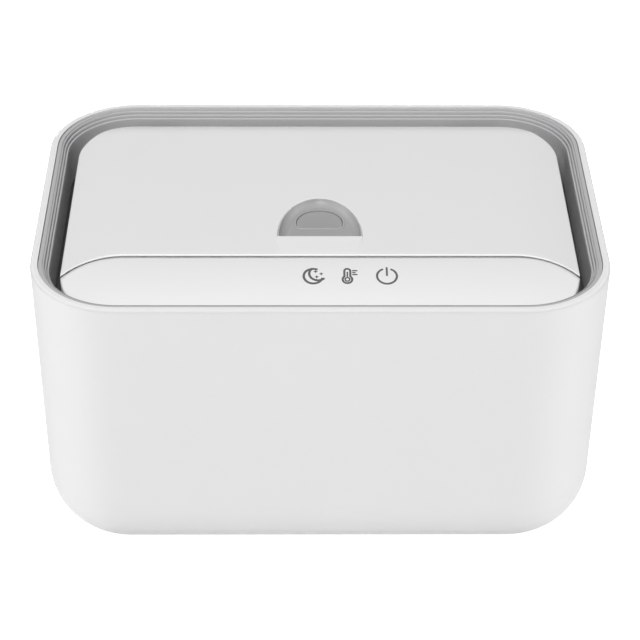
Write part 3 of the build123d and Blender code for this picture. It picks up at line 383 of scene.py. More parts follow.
def paintScoopWallLight(material, spec):
    # painted light: the scoop's grey is painted paler up its side walls, as if lit there: height above the
    # sloping floor, beside the middle only
    tree = material.node_tree
    shader = tree.nodes["Principled BSDF"]
    grey = shader.inputs["Base Color"].links[0].from_socket
    where = tree.nodes.new("ShaderNodeTexCoord")
    parts = tree.nodes.new("ShaderNodeSeparateXYZ")
    tree.links.new(where.outputs["Object"], parts.inputs[0])
    floorHeight = mathNode(tree, "MULTIPLY_ADD", parts.outputs["Y"], spec["floorSlope"], spec["floorMiddle"])
    above = mathNode(tree, "SUBTRACT", parts.outputs["Z"], floorHeight)
    span = mathNode(tree, "SUBTRACT", spec["rim"], floorHeight)
    share = mathNode(tree, "DIVIDE", above, span)
    share = mathNode(tree, "MAXIMUM", mathNode(tree, "SUBTRACT", share, spec["startShare"]), 0.0)
    foot = mathNode(tree, "MINIMUM", mathNode(tree, "MULTIPLY", share, spec["footRate"]), 1.0)
    across = mathNode(tree, "ABSOLUTE", parts.outputs["X"])
    beside = mathNode(tree, "MULTIPLY_ADD", across, spec["besideRate"], -spec["besideOffset"])
    beside = mathNode(tree, "MINIMUM", mathNode(tree, "MAXIMUM", beside, 0.0), 1.0)
    rise = mathNode(tree, "MULTIPLY_ADD", share, spec["riseRate"], spec["rise"])
    rise = mathNode(tree, "MULTIPLY", rise, share)
    gain = mathNode(tree, "MINIMUM", mathNode(tree, "MULTIPLY_ADD", foot, spec["foot"], rise), spec["most"])
    factor = mathNode(tree, "MULTIPLY_ADD", gain, beside, 1.0)
    scaleColour(tree, grey, factor, shader.inputs["Base Color"])


paintScoopWallLight(finish["scoop_grey"], scoopPaintedLight)


# painted light and shade: how much paler the housing is painted on its flat rim and underside, and how much
# darker halfway round the edge
housingPaintedLight = {"top": 0.22, "topPower": 8.0, "rounding": 0.8, "under": 0.34}


def paintHousingLight(material, spec):
    # painted light and shade: the flat rim and the underside are painted a touch paler than the upright walls,
    # and the rounding between is painted a touch darker
    tree = material.node_tree
    shader = tree.nodes["Principled BSDF"]
    colour = shader.inputs["Base Color"].links[0].from_socket
    shape = tree.nodes.new("ShaderNodeNewGeometry")
    parts = tree.nodes.new("ShaderNodeSeparateXYZ")
    tree.links.new(shape.outputs["Normal"], parts.inputs[0])
    up = mathNode(tree, "MAXIMUM", parts.outputs["Z"], 0.0)
    flat = mathNode(tree, "MULTIPLY", mathNode(tree, "POWER", up, spec["topPower"]), spec["top"])
    bend = mathNode(tree, "MULTIPLY", mathNode(tree, "SUBTRACT", 1.0, up), up)
    down = mathNode(tree, "MAXIMUM", mathNode(tree, "MULTIPLY", parts.outputs["Z"], -spec["under"]), 0.0)
    total = mathNode(tree, "ADD", mathNode(tree, "MULTIPLY_ADD", bend, -spec["rounding"], flat), down)
    factor = mathNode(tree, "ADD", total, 1.0)
    scaleColour(tree, colour, factor, shader.inputs["Base Color"])


paintHousingLight(finish["housing_white"], housingPaintedLight)
inkFinish = {"colour": (0.08, 0.08, 0.082), "rough": 0.6, "grain": 0.2, "depth": 0.002, "tone": 0.1}
iconInk = plasticFinish("iconInk", inkFinish)
print("finishes made:", len(finish))


def loftRows(rows, turnSteps=24, runSteps=10):
    # rows of half width, half depth, corner radius and height, each drawn as a rounded rectangle:
    # a point is its corner's centre plus the radius times its direction, and runs blend between two turns
    rows = np.asarray(rows, float)
    halfX, halfY, radius, height = (rows[:, i, None] for i in range(4))
    turn = np.linspace(0.0, np.pi / 2, turnSteps + 1)
    columns = []
    for quarter, signX, signY in ((-1, 1, -1), (0, 1, 1), (1, -1, 1), (2, -1, -1)):
        angle = quarter * np.pi / 2 + turn
        ones = np.ones_like(angle)
        columns.append(np.stack([signX * ones, signY * ones, np.cos(angle), np.sin(angle)]))
    joined = []
    for index, column in enumerate(columns):
        share = np.linspace(0.0, 1.0, runSteps + 1)[1:-1]
        following = columns[(index + 1) % 4][:, :1]
        joined += [column, column[:, -1:] * (1 - share) + following * share]
    signX, signY, cosine, sine = np.hstack(joined)
    x = signX * (halfX - radius) + radius * cosine
    y = signY * (halfY - radius) + radius * sine
    return np.stack([x, y, np.broadcast_to(height, x.shape)], axis=-1)


def gridFaces(rows, columns, closeRows=False, closeColumns=True):
    # quads of a grid whose rows are loops, wound so that a loop seen anticlockwise has its face outwards
    down = np.arange(rows if closeRows else rows - 1)[:, None]
    along = np.arange(columns if closeColumns else columns - 1)[None, :]
    lower, upper = down * columns, (down + 1) % rows * columns
    following = (along + 1) % columns
    quads = np.stack([lower + along, lower + following, upper + following, upper + along], axis=-1)
    return quads.reshape(-1, 4)


def addPiece(name, parts, body, slotName, stands=(), normals=None):
    # parts: a list of (points in millimetres, faces); doubles are merged, so seams and poles close
    mesh = bpy.data.meshes.new(name)
    points, faces, start = [], [], 0
    for partPoints, partFaces in parts:
        flat = np.asarray(partPoints, float).reshape(-1, 3)
        points.append(flat * 0.001)
        faces += (np.asarray(partFaces) + start).tolist()
        start += len(flat)
    mesh.from_pydata(np.vstack(points).tolist(), [], faces)
    if normals is None:
        made = bmesh.new()
        made.from_mesh(mesh)
        bmesh.ops.remove_doubles(made, verts=made.verts, dist=2e-6)
        bmesh.ops.dissolve_degenerate(made, edges=made.edges, dist=1e-7)
        made.to_mesh(mesh)
        made.free()
    mesh.shade_smooth()
    mesh.set_sharp_from_angle(angle=radians(35.0))
    if normals is not None:
        mesh.normals_split_custom_set_from_vertices(normals.reshape(-1, 3).tolist())
    piece = bpy.data.objects.new(name, mesh)
    bpy.context.scene.collection.objects.link(piece)
    if normals is None:
        even = piece.modifiers.new("even", "WEIGHTED_NORMAL")
        even.keep_sharp = True
    mesh.materials.append(finish[slotName])
    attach(piece, body)
    if stands:
        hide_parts(*stands)
    return piece


def rowAt(loop, height):
    # an outline in X and Y, at one height or with a height for each of its points
    return np.column_stack([loop, np.broadcast_to(height, len(loop))])


def extrudeAcross(outline, low, high, hole=None):
    # a closed outline in Y and Z carried along X from low to high; a hole with as many points makes it a ring
    outline = np.asarray(outline, float)
    count = len(outline)

    def placed(loop, x):
        return np.column_stack([np.full(count, x), loop])

    inner = np.repeat(outline.mean(axis=0)[None], count, axis=0) if hole is None else hole
    loops = [placed(inner, low), placed(outline, low), placed(outline, high), placed(inner, high)]
    return np.vstack(loops), gridFaces(4, count, closeRows=hole is not None)


# stepped trim: a top ledge, three treads with rounded noses, and the wall down to the deck
trim = {
    "halfWidth": 115.5,
    "halfDepth": 81.25,
    "corner": 36.2,
    "inset": 3.1,
    "gap": 0.16,
    "top": 130.8,
    "ledge": 2.2,
    "tread": 0.857,
    "riser": 1.37,
    "steps": 3,
    "groove": 0.55,
    "bead": 0.5,
    "cove": 0.6,
    "lip": 0.3,
    "ledgeEnd": 0.5,
    "grooveNear": 0.44,
    "grooveFar": 0.12,
    "beadNear": 0.46,
    "beadDrop": 0.02,
    "wall": 1.6,
    "flangeBottom": 125.5,
    "deck": 108.5,
}


def beadArc(inset, height, radius):
    # a quarter round from level to upright
    turn = np.linspace(0.0, np.pi / 2, 8)
    return [(inset + radius * np.sin(angle), height - radius * (1 - np.cos(angle))) for angle in turn]


def trimProfile(spec):
    # inset and height: up the outside, over the ledge, down beads with a groove above each, down the bore
    outside = spec["inset"] + spec["gap"]
    path = [(outside, height) for height in (spec["flangeBottom"], spec["top"] - spec["lip"], spec["top"])]
    inset, height = spec["inset"] + spec["ledge"], spec["top"]
    path.append((inset - spec["ledgeEnd"], height))
    for _ in range(spec["steps"]):
        path += [(inset - spec[side], height - spec["groove"]) for side in ("grooveNear", "grooveFar")]
        beadStart = inset + spec["tread"] - spec["bead"] - spec["beadNear"]
        path += beadArc(beadStart, height - spec["beadDrop"], spec["bead"])
        inset += spec["tread"]
        height -= spec["riser"]
    inset -= spec["grooveNear"]
    # a cove carries the wall down on to the deck
    for turn in np.linspace(0.0, np.pi / 2, 7):
        reach, rise = spec["cove"] * 0.5 * (1 - np.cos(turn)), spec["cove"] * (1 - np.sin(turn))
        path.append((inset + reach, spec["deck"] + rise))
    path += [(inset - spec["wall"], spec["deck"]), (inset - spec["wall"], spec["flangeBottom"])]
    return path


def insetRows(path):
    # each inset and height as a rounded rectangle that much inside the housing's outline
    width, depth, corner = trim["halfWidth"], trim["halfDepth"], trim["corner"]
    return [(width - inset, depth - inset, corner - inset, height) for inset, height in path]


trimPoints = loftRows(insetRows(trimProfile(trim)), turnSteps=30)
addPiece(
    "steppedTrim",
    [(trimPoints, gridFaces(*trimPoints.shape[:2], closeRows=True))],
    "base",
    "trim_grey",
    stands=("trim_ring",),
)

# a dark ring on the deck at the foot of the bore, with a low upstand against the wall, is painted shade: it
# stands in for the shade deep in the gap beside the lid
gapShadeRing = {
    "inner": 11.0,
    "lip": 0.45,
    "clear": 0.02,
    "edge": 0.2,
    "bottom": 108.5,
    "top": 108.95,
    "upstand": 110.0,
}


def shadeRingRows(spec):
    # inset and height: up the bore's side, over the low upstand, across the flat ring and down its inner edge
    bore = trim["inset"] + trim["ledge"] + trim["steps"] * trim["tread"] - trim["grooveNear"] + spec["clear"]
    path = [(bore, spec["bottom"]), (bore, spec["upstand"]), (bore + spec["lip"] * 0.6, spec["upstand"])]
    path += [(bore + spec["lip"], spec["upstand"] - spec["edge"]), (bore + spec["lip"], spec["top"])]
    path += [(spec["inner"] - spec["edge"], spec["top"]), (spec["inner"], spec["top"] - spec["edge"])]
    path.append((spec["inner"], spec["bottom"]))
    return insetRows(path)


shadeRingPoints = loftRows(shadeRingRows(gapShadeRing), turnSteps=24)
shadeRingFaces = gridFaces(*shadeRingPoints.shape[:2], closeRows=True)
# the dark ring is painted shade at the bottom of the gap
addPiece("deckShadeRing", [(shadeRingPoints, shadeRingFaces)], "base", "rubber_dark")
print("stepped trim made")

# the crowned top that lid and panel share
crown = {
    "halfWidth": 103.9,
    "halfDepth": 69.65,
    "corner": 24.6,
    "top": 127.9,
    "flatHalf": 78.9,
    "sideRadius": 109.209,
    "rollStart": 61.9,
    "rollRadius": 18.97,
    "backReach": 0.6,
    "crease": -36.35,
    "slope": 0.2642,
    "creaseBlend": 0.5,
    "seamRadius": 33.96,
    "halfGap": 0.32,
}


def crownHeight(x, y):
    # flat, then falling along a large circle at the sides and rolling over a smaller one at the back;
    # the lower of that and the sloping panel's plane counts, with a small blend where they meet
    out = np.maximum(np.abs(x) - crown["flatHalf"], 0.0)
    fall = crown["sideRadius"] - np.sqrt(crown["sideRadius"] ** 2 - out**2)
    back = np.maximum(y - crown["rollStart"], 0.0)
    reach = crown["rollRadius"] - fall
    dome = crown["top"] - crown["rollRadius"] + np.sqrt(np.maximum(reach**2 - back**2, 1.0))
    plane = crown["top"] - (crown["crease"] - y) * crown["slope"]
    near = np.maximum(crown["creaseBlend"] - np.abs(dome - plane), 0.0) / crown["creaseBlend"]
    return np.minimum(dome, plane) - near**2 * crown["creaseBlend"] / 4


def lipSwell(x, y, lip):
    # the skin in front of the scoop rises gently towards its edge, softly bounded left and right
    run = np.clip((y - lip["frontY"]) / (lip["backY"] - lip["frontY"]), 0.0, 1.0)
    edge = lip["frontHalf"] + (lip["backHalf"] - lip["frontHalf"]) * run
    across = np.clip((edge + lip["soft"] - np.abs(x)) / (2 * lip["soft"]), 0.0, 1.0)
    ends = np.clip((lip["backY"] + lip["past"] - y) / lip["fade"], 0.0, 1.0)
    return lip["rise"] * run * across**2 * (3 - 2 * across) * ends


def seamTip(seamRadius, sideInset):
    # where the seam's arc runs out: on the straight side, or on the front corner's arc just below it
    centre = np.array([crown["flatHalf"], crown["crease"] - crown["seamRadius"]])
    side = crown["halfWidth"] - sideInset
    cornerX, cornerY = crown["halfWidth"] - crown["corner"], crown["corner"] - crown["halfDepth"]
    y = centre[1] + np.sqrt(seamRadius**2 - (side - centre[0]) ** 2)
    if y >= cornerY:
        return np.array([side, y])
    radius = crown["corner"] - sideInset
    apart = np.array([cornerX, cornerY]) - centre
    distance = np.linalg.norm(apart)
    along = (seamRadius**2 - radius**2 + distance**2) / (2 * distance)
    across = np.sqrt(seamRadius**2 - along**2)
    axis = apart / distance
    return centre + axis * along + np.array([axis[1], -axis[0]]) * across


def seamCurve(x, seamRadius, straightY):
    # straight across the middle, then an arc that carries the ends forward
    out = np.maximum(np.abs(x) - crown["flatHalf"], 0.0)
    centre = crown["crease"] - crown["seamRadius"]
    return np.where(out > 0, centre + np.sqrt(np.maximum(seamRadius**2 - out**2, 0.0)), straightY)


def wholeLoop(half):
    # a half outline from the front middle round the right to the back middle, with its mirror image
    mirrored = half[-2:0:-1] * np.array([-1.0, 1.0])
    return np.vstack([half, mirrored])


# lid
lid = {
    "edge": 0.65,
    "backEdge": 1.2,
    "backDrop": 0.35,
    "backFrom": 38.0,
    "backTo": 62.0,
    "edgeSteps": 9,
    "wall": 2.2,
    "skin": 2.4,
    "skirt": 109.5,
    "frontDraft": 4.0,
    "shadowGroove": 0.5,
    "reliefStart": 50.0,
    "reliefRise": 9.5,
    "window": (60.65, 79.25),
    "windowTop": 125.45,
    "pocket": (58.0, 82.0),
    "pocketStart": 54.0,
    "pocketRise": 1.3,
    "wallLip": 0.35,
    "foldBack": 0.06,
    "foldDrop": 0.08,
    "innerSeam": 0.4,
    "outerShares": (0.0, 0.4116, 0.5739, 0.8, 1.0),
    "innerShares": (0.8, 0.61875, 0.44375, 0.0),
    "slotHalf": 4.9,
    "holeHalf": 17.35,
    "holeFront": -23.05,
    "holeLength": 30.15,
    "holeCorner": 1.1,
    "holeEdge": 0.3,
}
lip = {
    "frontY": -36.0,
    "backY": -23.05,
    "frontHalf": 14.9,
    "backHalf": 17.6,
    "rise": 0.7,
    "soft": 0.9,
    "past": 1.0,
    "fade": 0.9,
}
rings = (3.2, 4.6, 6.2, 8.0, 10.0, 12.0)  # insets of the first loops on the top, inside its rounded edge
# share of the front's columns before the scoop, how far across they reach, how evenly the rest spread
frontSplit, splitReach, frontEven = 0.45, 17.3, 0.35
placeEnds = (0.33, 0.66, 0.75, 0.83)  # places on the scoop's edge where the split, front, side and corner end
frontShare = np.linspace(0.0, 1.0, 92)
sideShare = np.linspace(0.0, 1.0, 26)[1:]
turnShare = np.linspace(0.0, 1.0, 26)[1:]
# half widths at which columns stand along the back, close together at both sides of the hinge window
backPlaces = np.r_[79.2, np.linspace(76.0, 64.0, 4), 60.7, 60.6, np.linspace(56.0, 0.0, 16)]


def lidHalf(sideInset, seamInset):
    # from the front middle: the seam's straight and arc, the side, a quarter circle, the straight back
    seamRadius = crown["seamRadius"] + crown["halfGap"] + seamInset
    tip = seamTip(seamRadius, sideInset)
    beside = np.maximum(frontShare - frontSplit, 0.0) / (1 - frontSplit)
    x = np.minimum(frontShare / frontSplit, 1.0) * splitReach
    x += (tip[0] - splitReach) * (frontEven * beside + (1 - frontEven) * beside**2)
    straight = crown["crease"] + crown["halfGap"] + seamInset
    front = np.column_stack([x, seamCurve(x, seamRadius, straight)])
    front[-1] = tip
    side = crown["halfWidth"] - sideInset
    backDepth = crown["halfDepth"] + crown["backReach"]
    cornerX, cornerY = crown["halfWidth"] - crown["corner"], backDepth - crown["corner"]
    sideX = tip[0] + (side - tip[0]) * np.minimum(8 * sideShare, 1)
    run = np.column_stack([sideX, tip[1] + (cornerY - tip[1]) * sideShare])
    angle = turnShare * np.pi / 2
    radius = crown["corner"] - sideInset
    turn = np.column_stack([cornerX + radius * np.cos(angle), cornerY + radius * np.sin(angle)])
    back = np.column_stack([backPlaces, np.full(len(backPlaces), backDepth - sideInset)])
    return np.vstack([front, run, turn, back])


moonCorner = (0.3, 0.36)  # the places between which a half-moon's front corner bends


def moonHalf(places, halfWidth, length, front, corner):
    # half of a half-moon, places 0 to 1: a straight front, a rounded corner, then a quarter ellipse
    first, last = moonCorner
    straight = np.clip(places / first, 0.0, 1.0) * (halfWidth - corner)
    bend = np.clip((places - first) / (last - first), 0.0, 1.0) * np.pi / 2
    rise = np.clip((places - last) / (1 - last), 0.0, 1.0) * np.pi / 2
    x = np.where(places < last, straight + corner * np.sin(bend), halfWidth * np.cos(rise))
    y = front + np.where(places < last, corner * (1 - np.cos(bend)), corner + (length - corner) * np.sin(rise))
    return np.column_stack([x, y])


def moonPlaces():
    # which place on the scoop's edge each column of the lid runs to
    splitEnd, frontEnd, sideEnd, cornerEnd = placeEnds
    beside = splitEnd + (frontShare - frontSplit) / (1 - frontSplit) * (frontEnd - splitEnd)
    front = np.where(frontShare < frontSplit, frontShare / frontSplit * splitEnd, beside)
    side = frontEnd + sideShare * (sideEnd - frontEnd)
    turn = sideEnd + turnShare * (cornerEnd - sideEnd)
    back = cornerEnd + (1 - backPlaces / backPlaces[0]) * (1 - cornerEnd)
    return np.concatenate([front, side, turn, back])


def lidRows():
    # loops carried up the outer wall, round the edge, over the crown to the hole, and back under the skin
    places = moonPlaces()
    tan = np.tan(radians(lid["frontDraft"]))
    flush = wholeLoop(lidHalf(0.0, 0.0))
    towardsBack = np.clip((flush[:, 1] - lid["backFrom"]) / (lid["backTo"] - lid["backFrom"]), 0.0, 1.0)
    towardsBack = (towardsBack**2 * (3 - 2 * towardsBack))[:, None]
    rounding = lid["edge"] + (lid["backEdge"] - lid["edge"]) * towardsBack[:, 0]
    small, large = (wholeLoop(lidHalf(edge, edge)) for edge in (lid["edge"], lid["backEdge"]))
    outline = small * (1 - towardsBack) + large * towardsBack
    upper = crownHeight(outline[:, 0], outline[:, 1])
    inWindow = (np.abs(flush[:, 0]) > lid["window"][0]) & (np.abs(flush[:, 0]) < lid["window"][1])
    inWindow &= flush[:, 1] > lid["reliefStart"]

    def foot(loop):
        rise = np.clip(loop[:, 1] - lid["reliefStart"], 0.0, lid["reliefRise"])
        return np.where(inWindow, lid["windowTop"], lid["skirt"] + rise)

    rows, kinds = [], []

    def addRow(loop, height, kind):
        rows.append(rowAt(loop, height))
        kinds.append(kind)

    drop = np.minimum(rounding, lid["edge"] + lid["backDrop"] * (rounding - lid["edge"]))
    wallTop = upper - drop - lid["wallLip"]
    for share in lid["outerShares"]:
        level = lid["skirt"] + share * (crown["top"] - lid["edge"] - lid["wallLip"] - lid["skirt"])
        setBack = max(lid["shadowGroove"], (crown["top"] - level) * tan)
        loop = wholeLoop(lidHalf(0.0, setBack))
        bottom = foot(loop)
        addRow(loop, bottom + share * (wallTop - bottom), "outer")
    addRow(wholeLoop(lidHalf(0.0, lid["foldBack"])), upper - drop - lid["foldDrop"], "edge")
    for turn in np.linspace(0.0, np.pi / 2, lid["edgeSteps"] + 1)[:-1]:
        inward = 1 - np.cos(turn)
        addRow(flush * (1 - inward) + outline * inward, upper - drop * (1 - np.sin(turn)), "edge")

    def holeLoop(grow):
        half, length = lid["holeHalf"] + grow, lid["holeLength"] + 2 * grow
        return wholeLoop(moonHalf(places, half, length, lid["holeFront"] - grow, lid["holeCorner"] + grow))

    rim = lid["holeEdge"]
    hole, grown = holeLoop(0.0), holeLoop(rim)
    spread = [outline] + [wholeLoop(lidHalf(ring, ring)) for ring in rings]
    spread += [spread[-1] * (1 - share) + grown * share for share in np.linspace(0.0, 1.0, 34)[1:]]
    for loop in spread:
        addRow(loop, crownHeight(loop[:, 0], loop[:, 1]) + lipSwell(loop[:, 0], loop[:, 1], lip), "top")
    brim = rows[-1][:, 2]
    for turn in (30.0, 60.0, 90.0):
        share = np.sin(radians(turn))
        addRow(grown * (1 - share) + hole * share, brim - rim * (1 - np.cos(radians(turn))), "hole")
    inner = wholeLoop(lidHalf(lid["wall"], lid["wall"] + lid["innerSeam"]))
    for share in np.linspace(1.0, 0.0, 9):
        loop = inner * (1 - share) + hole * share
        ceiling = crownHeight(loop[:, 0], loop[:, 1]) - lid["skin"]
        near = (np.abs(loop[:, 0]) > lid["pocket"][0]) & (np.abs(loop[:, 0]) < lid["pocket"][1])
        near &= loop[:, 1] > lid["pocketStart"]
        addRow(loop, ceiling + np.where(near, lid["pocketRise"], 0.0), "ceiling")
    top = rows[-1][:, 2]
    for share in lid["innerShares"]:
        level = lid["skirt"] + share * (crown["top"] - lid["skin"] - lid["skirt"])
        setBack = lid["wall"] + max(lid["innerSeam"], (crown["top"] - level) * tan)
        loop = wholeLoop(lidHalf(lid["wall"], setBack))
        bottom = foot(loop)
        addRow(loop, bottom + share * (top - bottom), "inner")
    return np.stack(rows), kinds


def surfaceNormals(points, kinds):
    # exact on the top, from the height's slope; none elsewhere, where the mesh gives its own
    normals = np.zeros_like(points)
    step = 0.01
    for index, kind in enumerate(kinds):
        if kind != "top":
            continue
        x, y = points[index, :, 0], points[index, :, 1]

        def height(px, py):
            return crownHeight(px, py) + lipSwell(px, py, lip)

        slopeX = (height(x + step, y) - height(x - step, y)) / (2 * step)
        slopeY = (height(x, y + step) - height(x, y - step)) / (2 * step)
        normal = np.stack([-slopeX, -slopeY, np.ones_like(x)], axis=-1)
        normals[index] = normal / np.linalg.norm(normal, axis=-1, keepdims=True)
    return normals


lidPoints, lidKinds = lidRows()
lidFaces = gridFaces(*lidPoints.shape[:2], closeRows=True)


def slotThrough(faces, points, rowsA, rowsB, halfWidth):
    # leaves out the quads of a rectangular opening in two facing walls and joins the walls round its edge
    count = points.shape[1]
    row, column = faces[:, 0] // count, faces[:, 0] % count
    middle = points[0, :, 0]
    atFront = points[0, :, 1] < 0
    inside = atFront & (np.abs(middle) < halfWidth) & (np.abs(np.roll(middle, -1)) < halfWidth)
    gone = inside[column] & ((row == rowsA[0]) | (row == rowsB[0]))
    edge = np.flatnonzero(inside)
    edge = np.r_[edge[edge > count / 2], edge[edge < count / 2]]
    ends = np.r_[edge, (edge[-1] + 1) % count]
    lowA, highA = rowsA[0] * count, rowsA[1] * count
    highB, lowB = rowsB[0] * count, rowsB[1] * count
    joins = []
    for first, second in zip(ends[:-1], ends[1:]):
        joins.append((lowA + second, lowA + first, lowB + first, lowB + second))
        joins.append((highA + first, highA + second, highB + second, highB + first))
    left, right = ends[0], ends[-1]
    joins.append((lowA + left, highA + left, highB + left, lowB + left))
    joins.append((highA + right, lowA + right, lowB + right, highB + right))
    return np.vstack([faces[~gone], np.array(joins)])


innerRows = [index for index, kind in enumerate(lidKinds) if kind == "inner"]
lidFaces = slotThrough(lidFaces, lidPoints, (1, 2), (innerRows[1], innerRows[2]), lid["slotHalf"])
addPiece(
    "lidCover",
    [(lidPoints, lidFaces)],
    "lid",
    "lid_white",
    stands=("lid_shell",),
    normals=surfaceNormals(lidPoints, lidKinds),
)

# the hinge eyes under the lid: axis, outer radius, bore, place and half width along the pin, skin above
hinge = {"y": 60.0, "z": 123.9, "radius": 2.6, "pin": 1.3, "centre": 70.0, "half": 5.0, "skin": 127.1}


def knuckleOutline(spec):
    # a round eye below the axis, with straight cheeks up to the skin, and a matching bore
    lower = np.radians(np.linspace(180.0, 360.0, 25))
    eyeY, eyeZ = spec["y"] + spec["radius"] * np.cos(lower), spec["z"] + spec["radius"] * np.sin(lower)
    eye = np.column_stack([eyeY, eyeZ])
    across = np.linspace(1.0, -1.0, 9)
    upper = np.column_stack([spec["y"] + spec["radius"] * across, np.full(9, spec["skin"])])
    outline = np.vstack([eye, upper])
    angle = np.arctan2(outline[:, 1] - spec["z"], outline[:, 0] - spec["y"])
    bore = np.column_stack([spec["y"] + spec["pin"] * np.cos(angle), spec["z"] + spec["pin"] * np.sin(angle)])
    return outline, bore


knuckle, bore = knuckleOutline(hinge)
knuckles = [
    extrudeAcross(knuckle, side * hinge["centre"] - hinge["half"], side * hinge["centre"] + hinge["half"], bore)
    for side in (-1, 1)
]
addPiece("lidKnuckles", knuckles, "lid", "lid_white")
print("lid made:", len(lidFaces), "faces")

# control panel
panel = {
    "edge": 0.6,
    "seamEdge": 1.9,
    "seamDrop": 0.8,
    "swell": 0.9,
    "tipPower": 10,
    "straight": 0.45,
    "wall": 2.0,
    "skin": 2.2,
    "deck": 108.5,
    "slotHalf": 8.2,
    "slotTop": 122.3,
}
panelShare = np.linspace(0.0, 1.0, 46)


def panelHalf(sideInset, seamInset, back):
    # from the middle to the tip, along the front and round its corner, or along the seam
    seamRadius = crown["seamRadius"] - crown["halfGap"] - seamInset
    tip = seamTip(seamRadius, sideInset)
    cornerX, cornerY = crown["halfWidth"] - crown["corner"], crown["corner"] - crown["halfDepth"]
    straight = panel["straight"]
    early = np.clip(panelShare / straight, 0.0, 1.0)
    late = np.clip((panelShare - straight) / (1 - straight), 0.0, 1.0)
    if back:
        centre = np.array([crown["flatHalf"], crown["crease"] - crown["seamRadius"]])
        last = np.arctan2(tip[1] - centre[1], tip[0] - centre[0])
        angle = np.pi / 2 + (last - np.pi / 2) * late
        x = np.where(late > 0, centre[0] + seamRadius * np.cos(angle), early * crown["flatHalf"])
        level = crown["crease"] - crown["halfGap"] - seamInset
        y = np.where(late > 0, centre[1] + seamRadius * np.sin(angle), level)
        return np.column_stack([x, y])
    last = np.arctan2(tip[1] - cornerY, tip[0] - cornerX)
    radius = crown["corner"] - sideInset
    angle = -np.pi / 2 + (last + np.pi / 2) * late
    x = np.where(late > 0, cornerX + radius * np.cos(angle), early * cornerX)
    y = np.where(late > 0, cornerY + radius * np.sin(angle), sideInset - crown["halfDepth"])
    return np.column_stack([x, y])


def panelHeight(x, y):
    # the sloping plane with a gentle swell between crease and front edge
    run = np.clip((crown["crease"] - y) / (crown["halfDepth"] + crown["crease"]), 0.0, 1.0)
    edge = np.clip((crown["halfWidth"] - np.abs(x)) / crown["corner"], 0.0, 1.0)
    return crownHeight(x, y) + panel["swell"] * 4 * run * (1 - run) * edge * (2 - edge)


def acrossPanel(half):
    # a half outline with its mirror image, from left to right
    return np.vstack([half[:0:-1] * np.array([-1.0, 1.0]), half])


def panelLoop(sideInset, seamInset):
    # left tip to right tip along the front, then back along the seam
    front = acrossPanel(panelHalf(sideInset, seamInset, False))
    seam = acrossPanel(panelHalf(sideInset, seamInset, True))[::-1]
    return np.vstack([front, seam])


def panelRows():
    # loops carried up the wall, round the edge and inwards over the slope; a second set makes the underside
    count = 2 * len(panelShare) - 1
    tipWards = np.abs(np.linspace(-1.0, 1.0, count)) ** panel["tipPower"]
    seamEdge = panel["seamDrop"] + (panel["edge"] - panel["seamDrop"]) * tipWards
    edge = np.r_[np.full(count, panel["edge"]), seamEdge]
    outline = panelLoop(panel["edge"], panel["seamEdge"])
    upper = panelHeight(outline[:, 0], outline[:, 1])
    atSeam = np.arange(2 * count) >= count
    slotted = atSeam & (np.abs(outline[:, 0]) < panel["slotHalf"])
    floor = np.where(slotted, panel["slotTop"], panel["deck"])
    flush = panelLoop(0.0, 0.0)
    rows = [rowAt(flush, floor), rowAt(flush, (floor + upper) / 2)]
    for turn in np.linspace(0.0, np.pi / 2, 7):
        loop = panelLoop(panel["edge"] * (1 - np.cos(turn)), panel["seamEdge"] * (1 - np.cos(turn)))
        rows.append(rowAt(loop, upper - edge * (1 - np.sin(turn))))
    opposite = outline[::-1]
    for share in np.linspace(0.0, 0.5, 15)[1:]:
        loop = outline * (1 - share) + opposite * share
        rows.append(rowAt(loop, panelHeight(loop[:, 0], loop[:, 1])))
    inner = panelLoop(panel["wall"], panel["wall"])
    ceiling = crownHeight(inner[:, 0], inner[:, 1]) - panel["skin"]
    under = [rowAt(inner, floor), rowAt(inner, np.maximum(ceiling, floor))]
    for share in np.linspace(0.0, 0.5, 6)[1:]:
        loop = inner * (1 - share) + inner[::-1] * share
        under.append(rowAt(loop, crownHeight(loop[:, 0], loop[:, 1]) - panel["skin"]))
    return np.stack(rows), np.stack(under)


panelPoints, panelUnder = panelRows()
panelWhole = np.concatenate([panelUnder[::-1], panelPoints])
addPiece(
    "slopedPanel",
    [(panelWhole, gridFaces(*panelWhole.shape[:2]))],
    "base",
    "panel_white",
    stands=("control_panel",),
)
print("panel made")

# finger scoop and its release button
scoop = {
    "halfWidth": 17.3,
    "length": 30.1,
    "front": -23.0,
    "top": 127.9,
    "rim": 0.5,
    "bevel": 3.6,
    "hollowFrom": 0.5,
    "frontLean": 0.35,
    "floorFront": 122.212,
    "floorSlope": 0.10986,
    "corner": 1.0,
    "thick": 1.5,
    "flange": 2.4,
    "flangeTop": 125.5,
    "flangeBottom": 124.3,
    "step": 0.2,
    "hollowStart": 0.03,
    "rimPath": ((-0.06, 0.0), (-0.02, 0.012)),
    "beadWidth": 0.9,
    "beadRise": 0.32,
    "lipDrop": 0.25,
    "fold": 0.08,
    "straightFrom": 4.0,
    "straightOver": 9.0,
    "straightShare": 0.6,
    "cornerGain": 1.2,
}
button = {
    "half": 9.5,
    "front": -9.5,
    "back": 2.0,
    "corner": 2.2,
    "shoulder": 3.6,
    "sink": 0.22,
    "edge": 0.3,
    "gap": 0.07,
    "bottom": 121.4,
    "dish": 0.25,
}
scoopPlaces = np.r_[np.linspace(0.0, 0.3, 14), np.linspace(0.3, 0.36, 8)[1:], np.linspace(0.36, 1.0, 40)[1:]]


def scoopFloor(y):
    # a plane that rises towards the back
    return scoop["floorFront"] + (y - scoop["front"]) * scoop["floorSlope"]


def scoopLoop(sideInset, frontInset, corner):
    # the half-moon drawn in by one inset at its sides and back and by another at its front
    front = scoop["front"] + frontInset
    length = scoop["length"] - frontInset - sideInset
    return wholeLoop(moonHalf(scoopPlaces, scoop["halfWidth"] - sideInset, length, front, corner))


padPlaces = (0.24, 0.38, 0.44)  # where the pad's straight front, its corner and its shoulder end


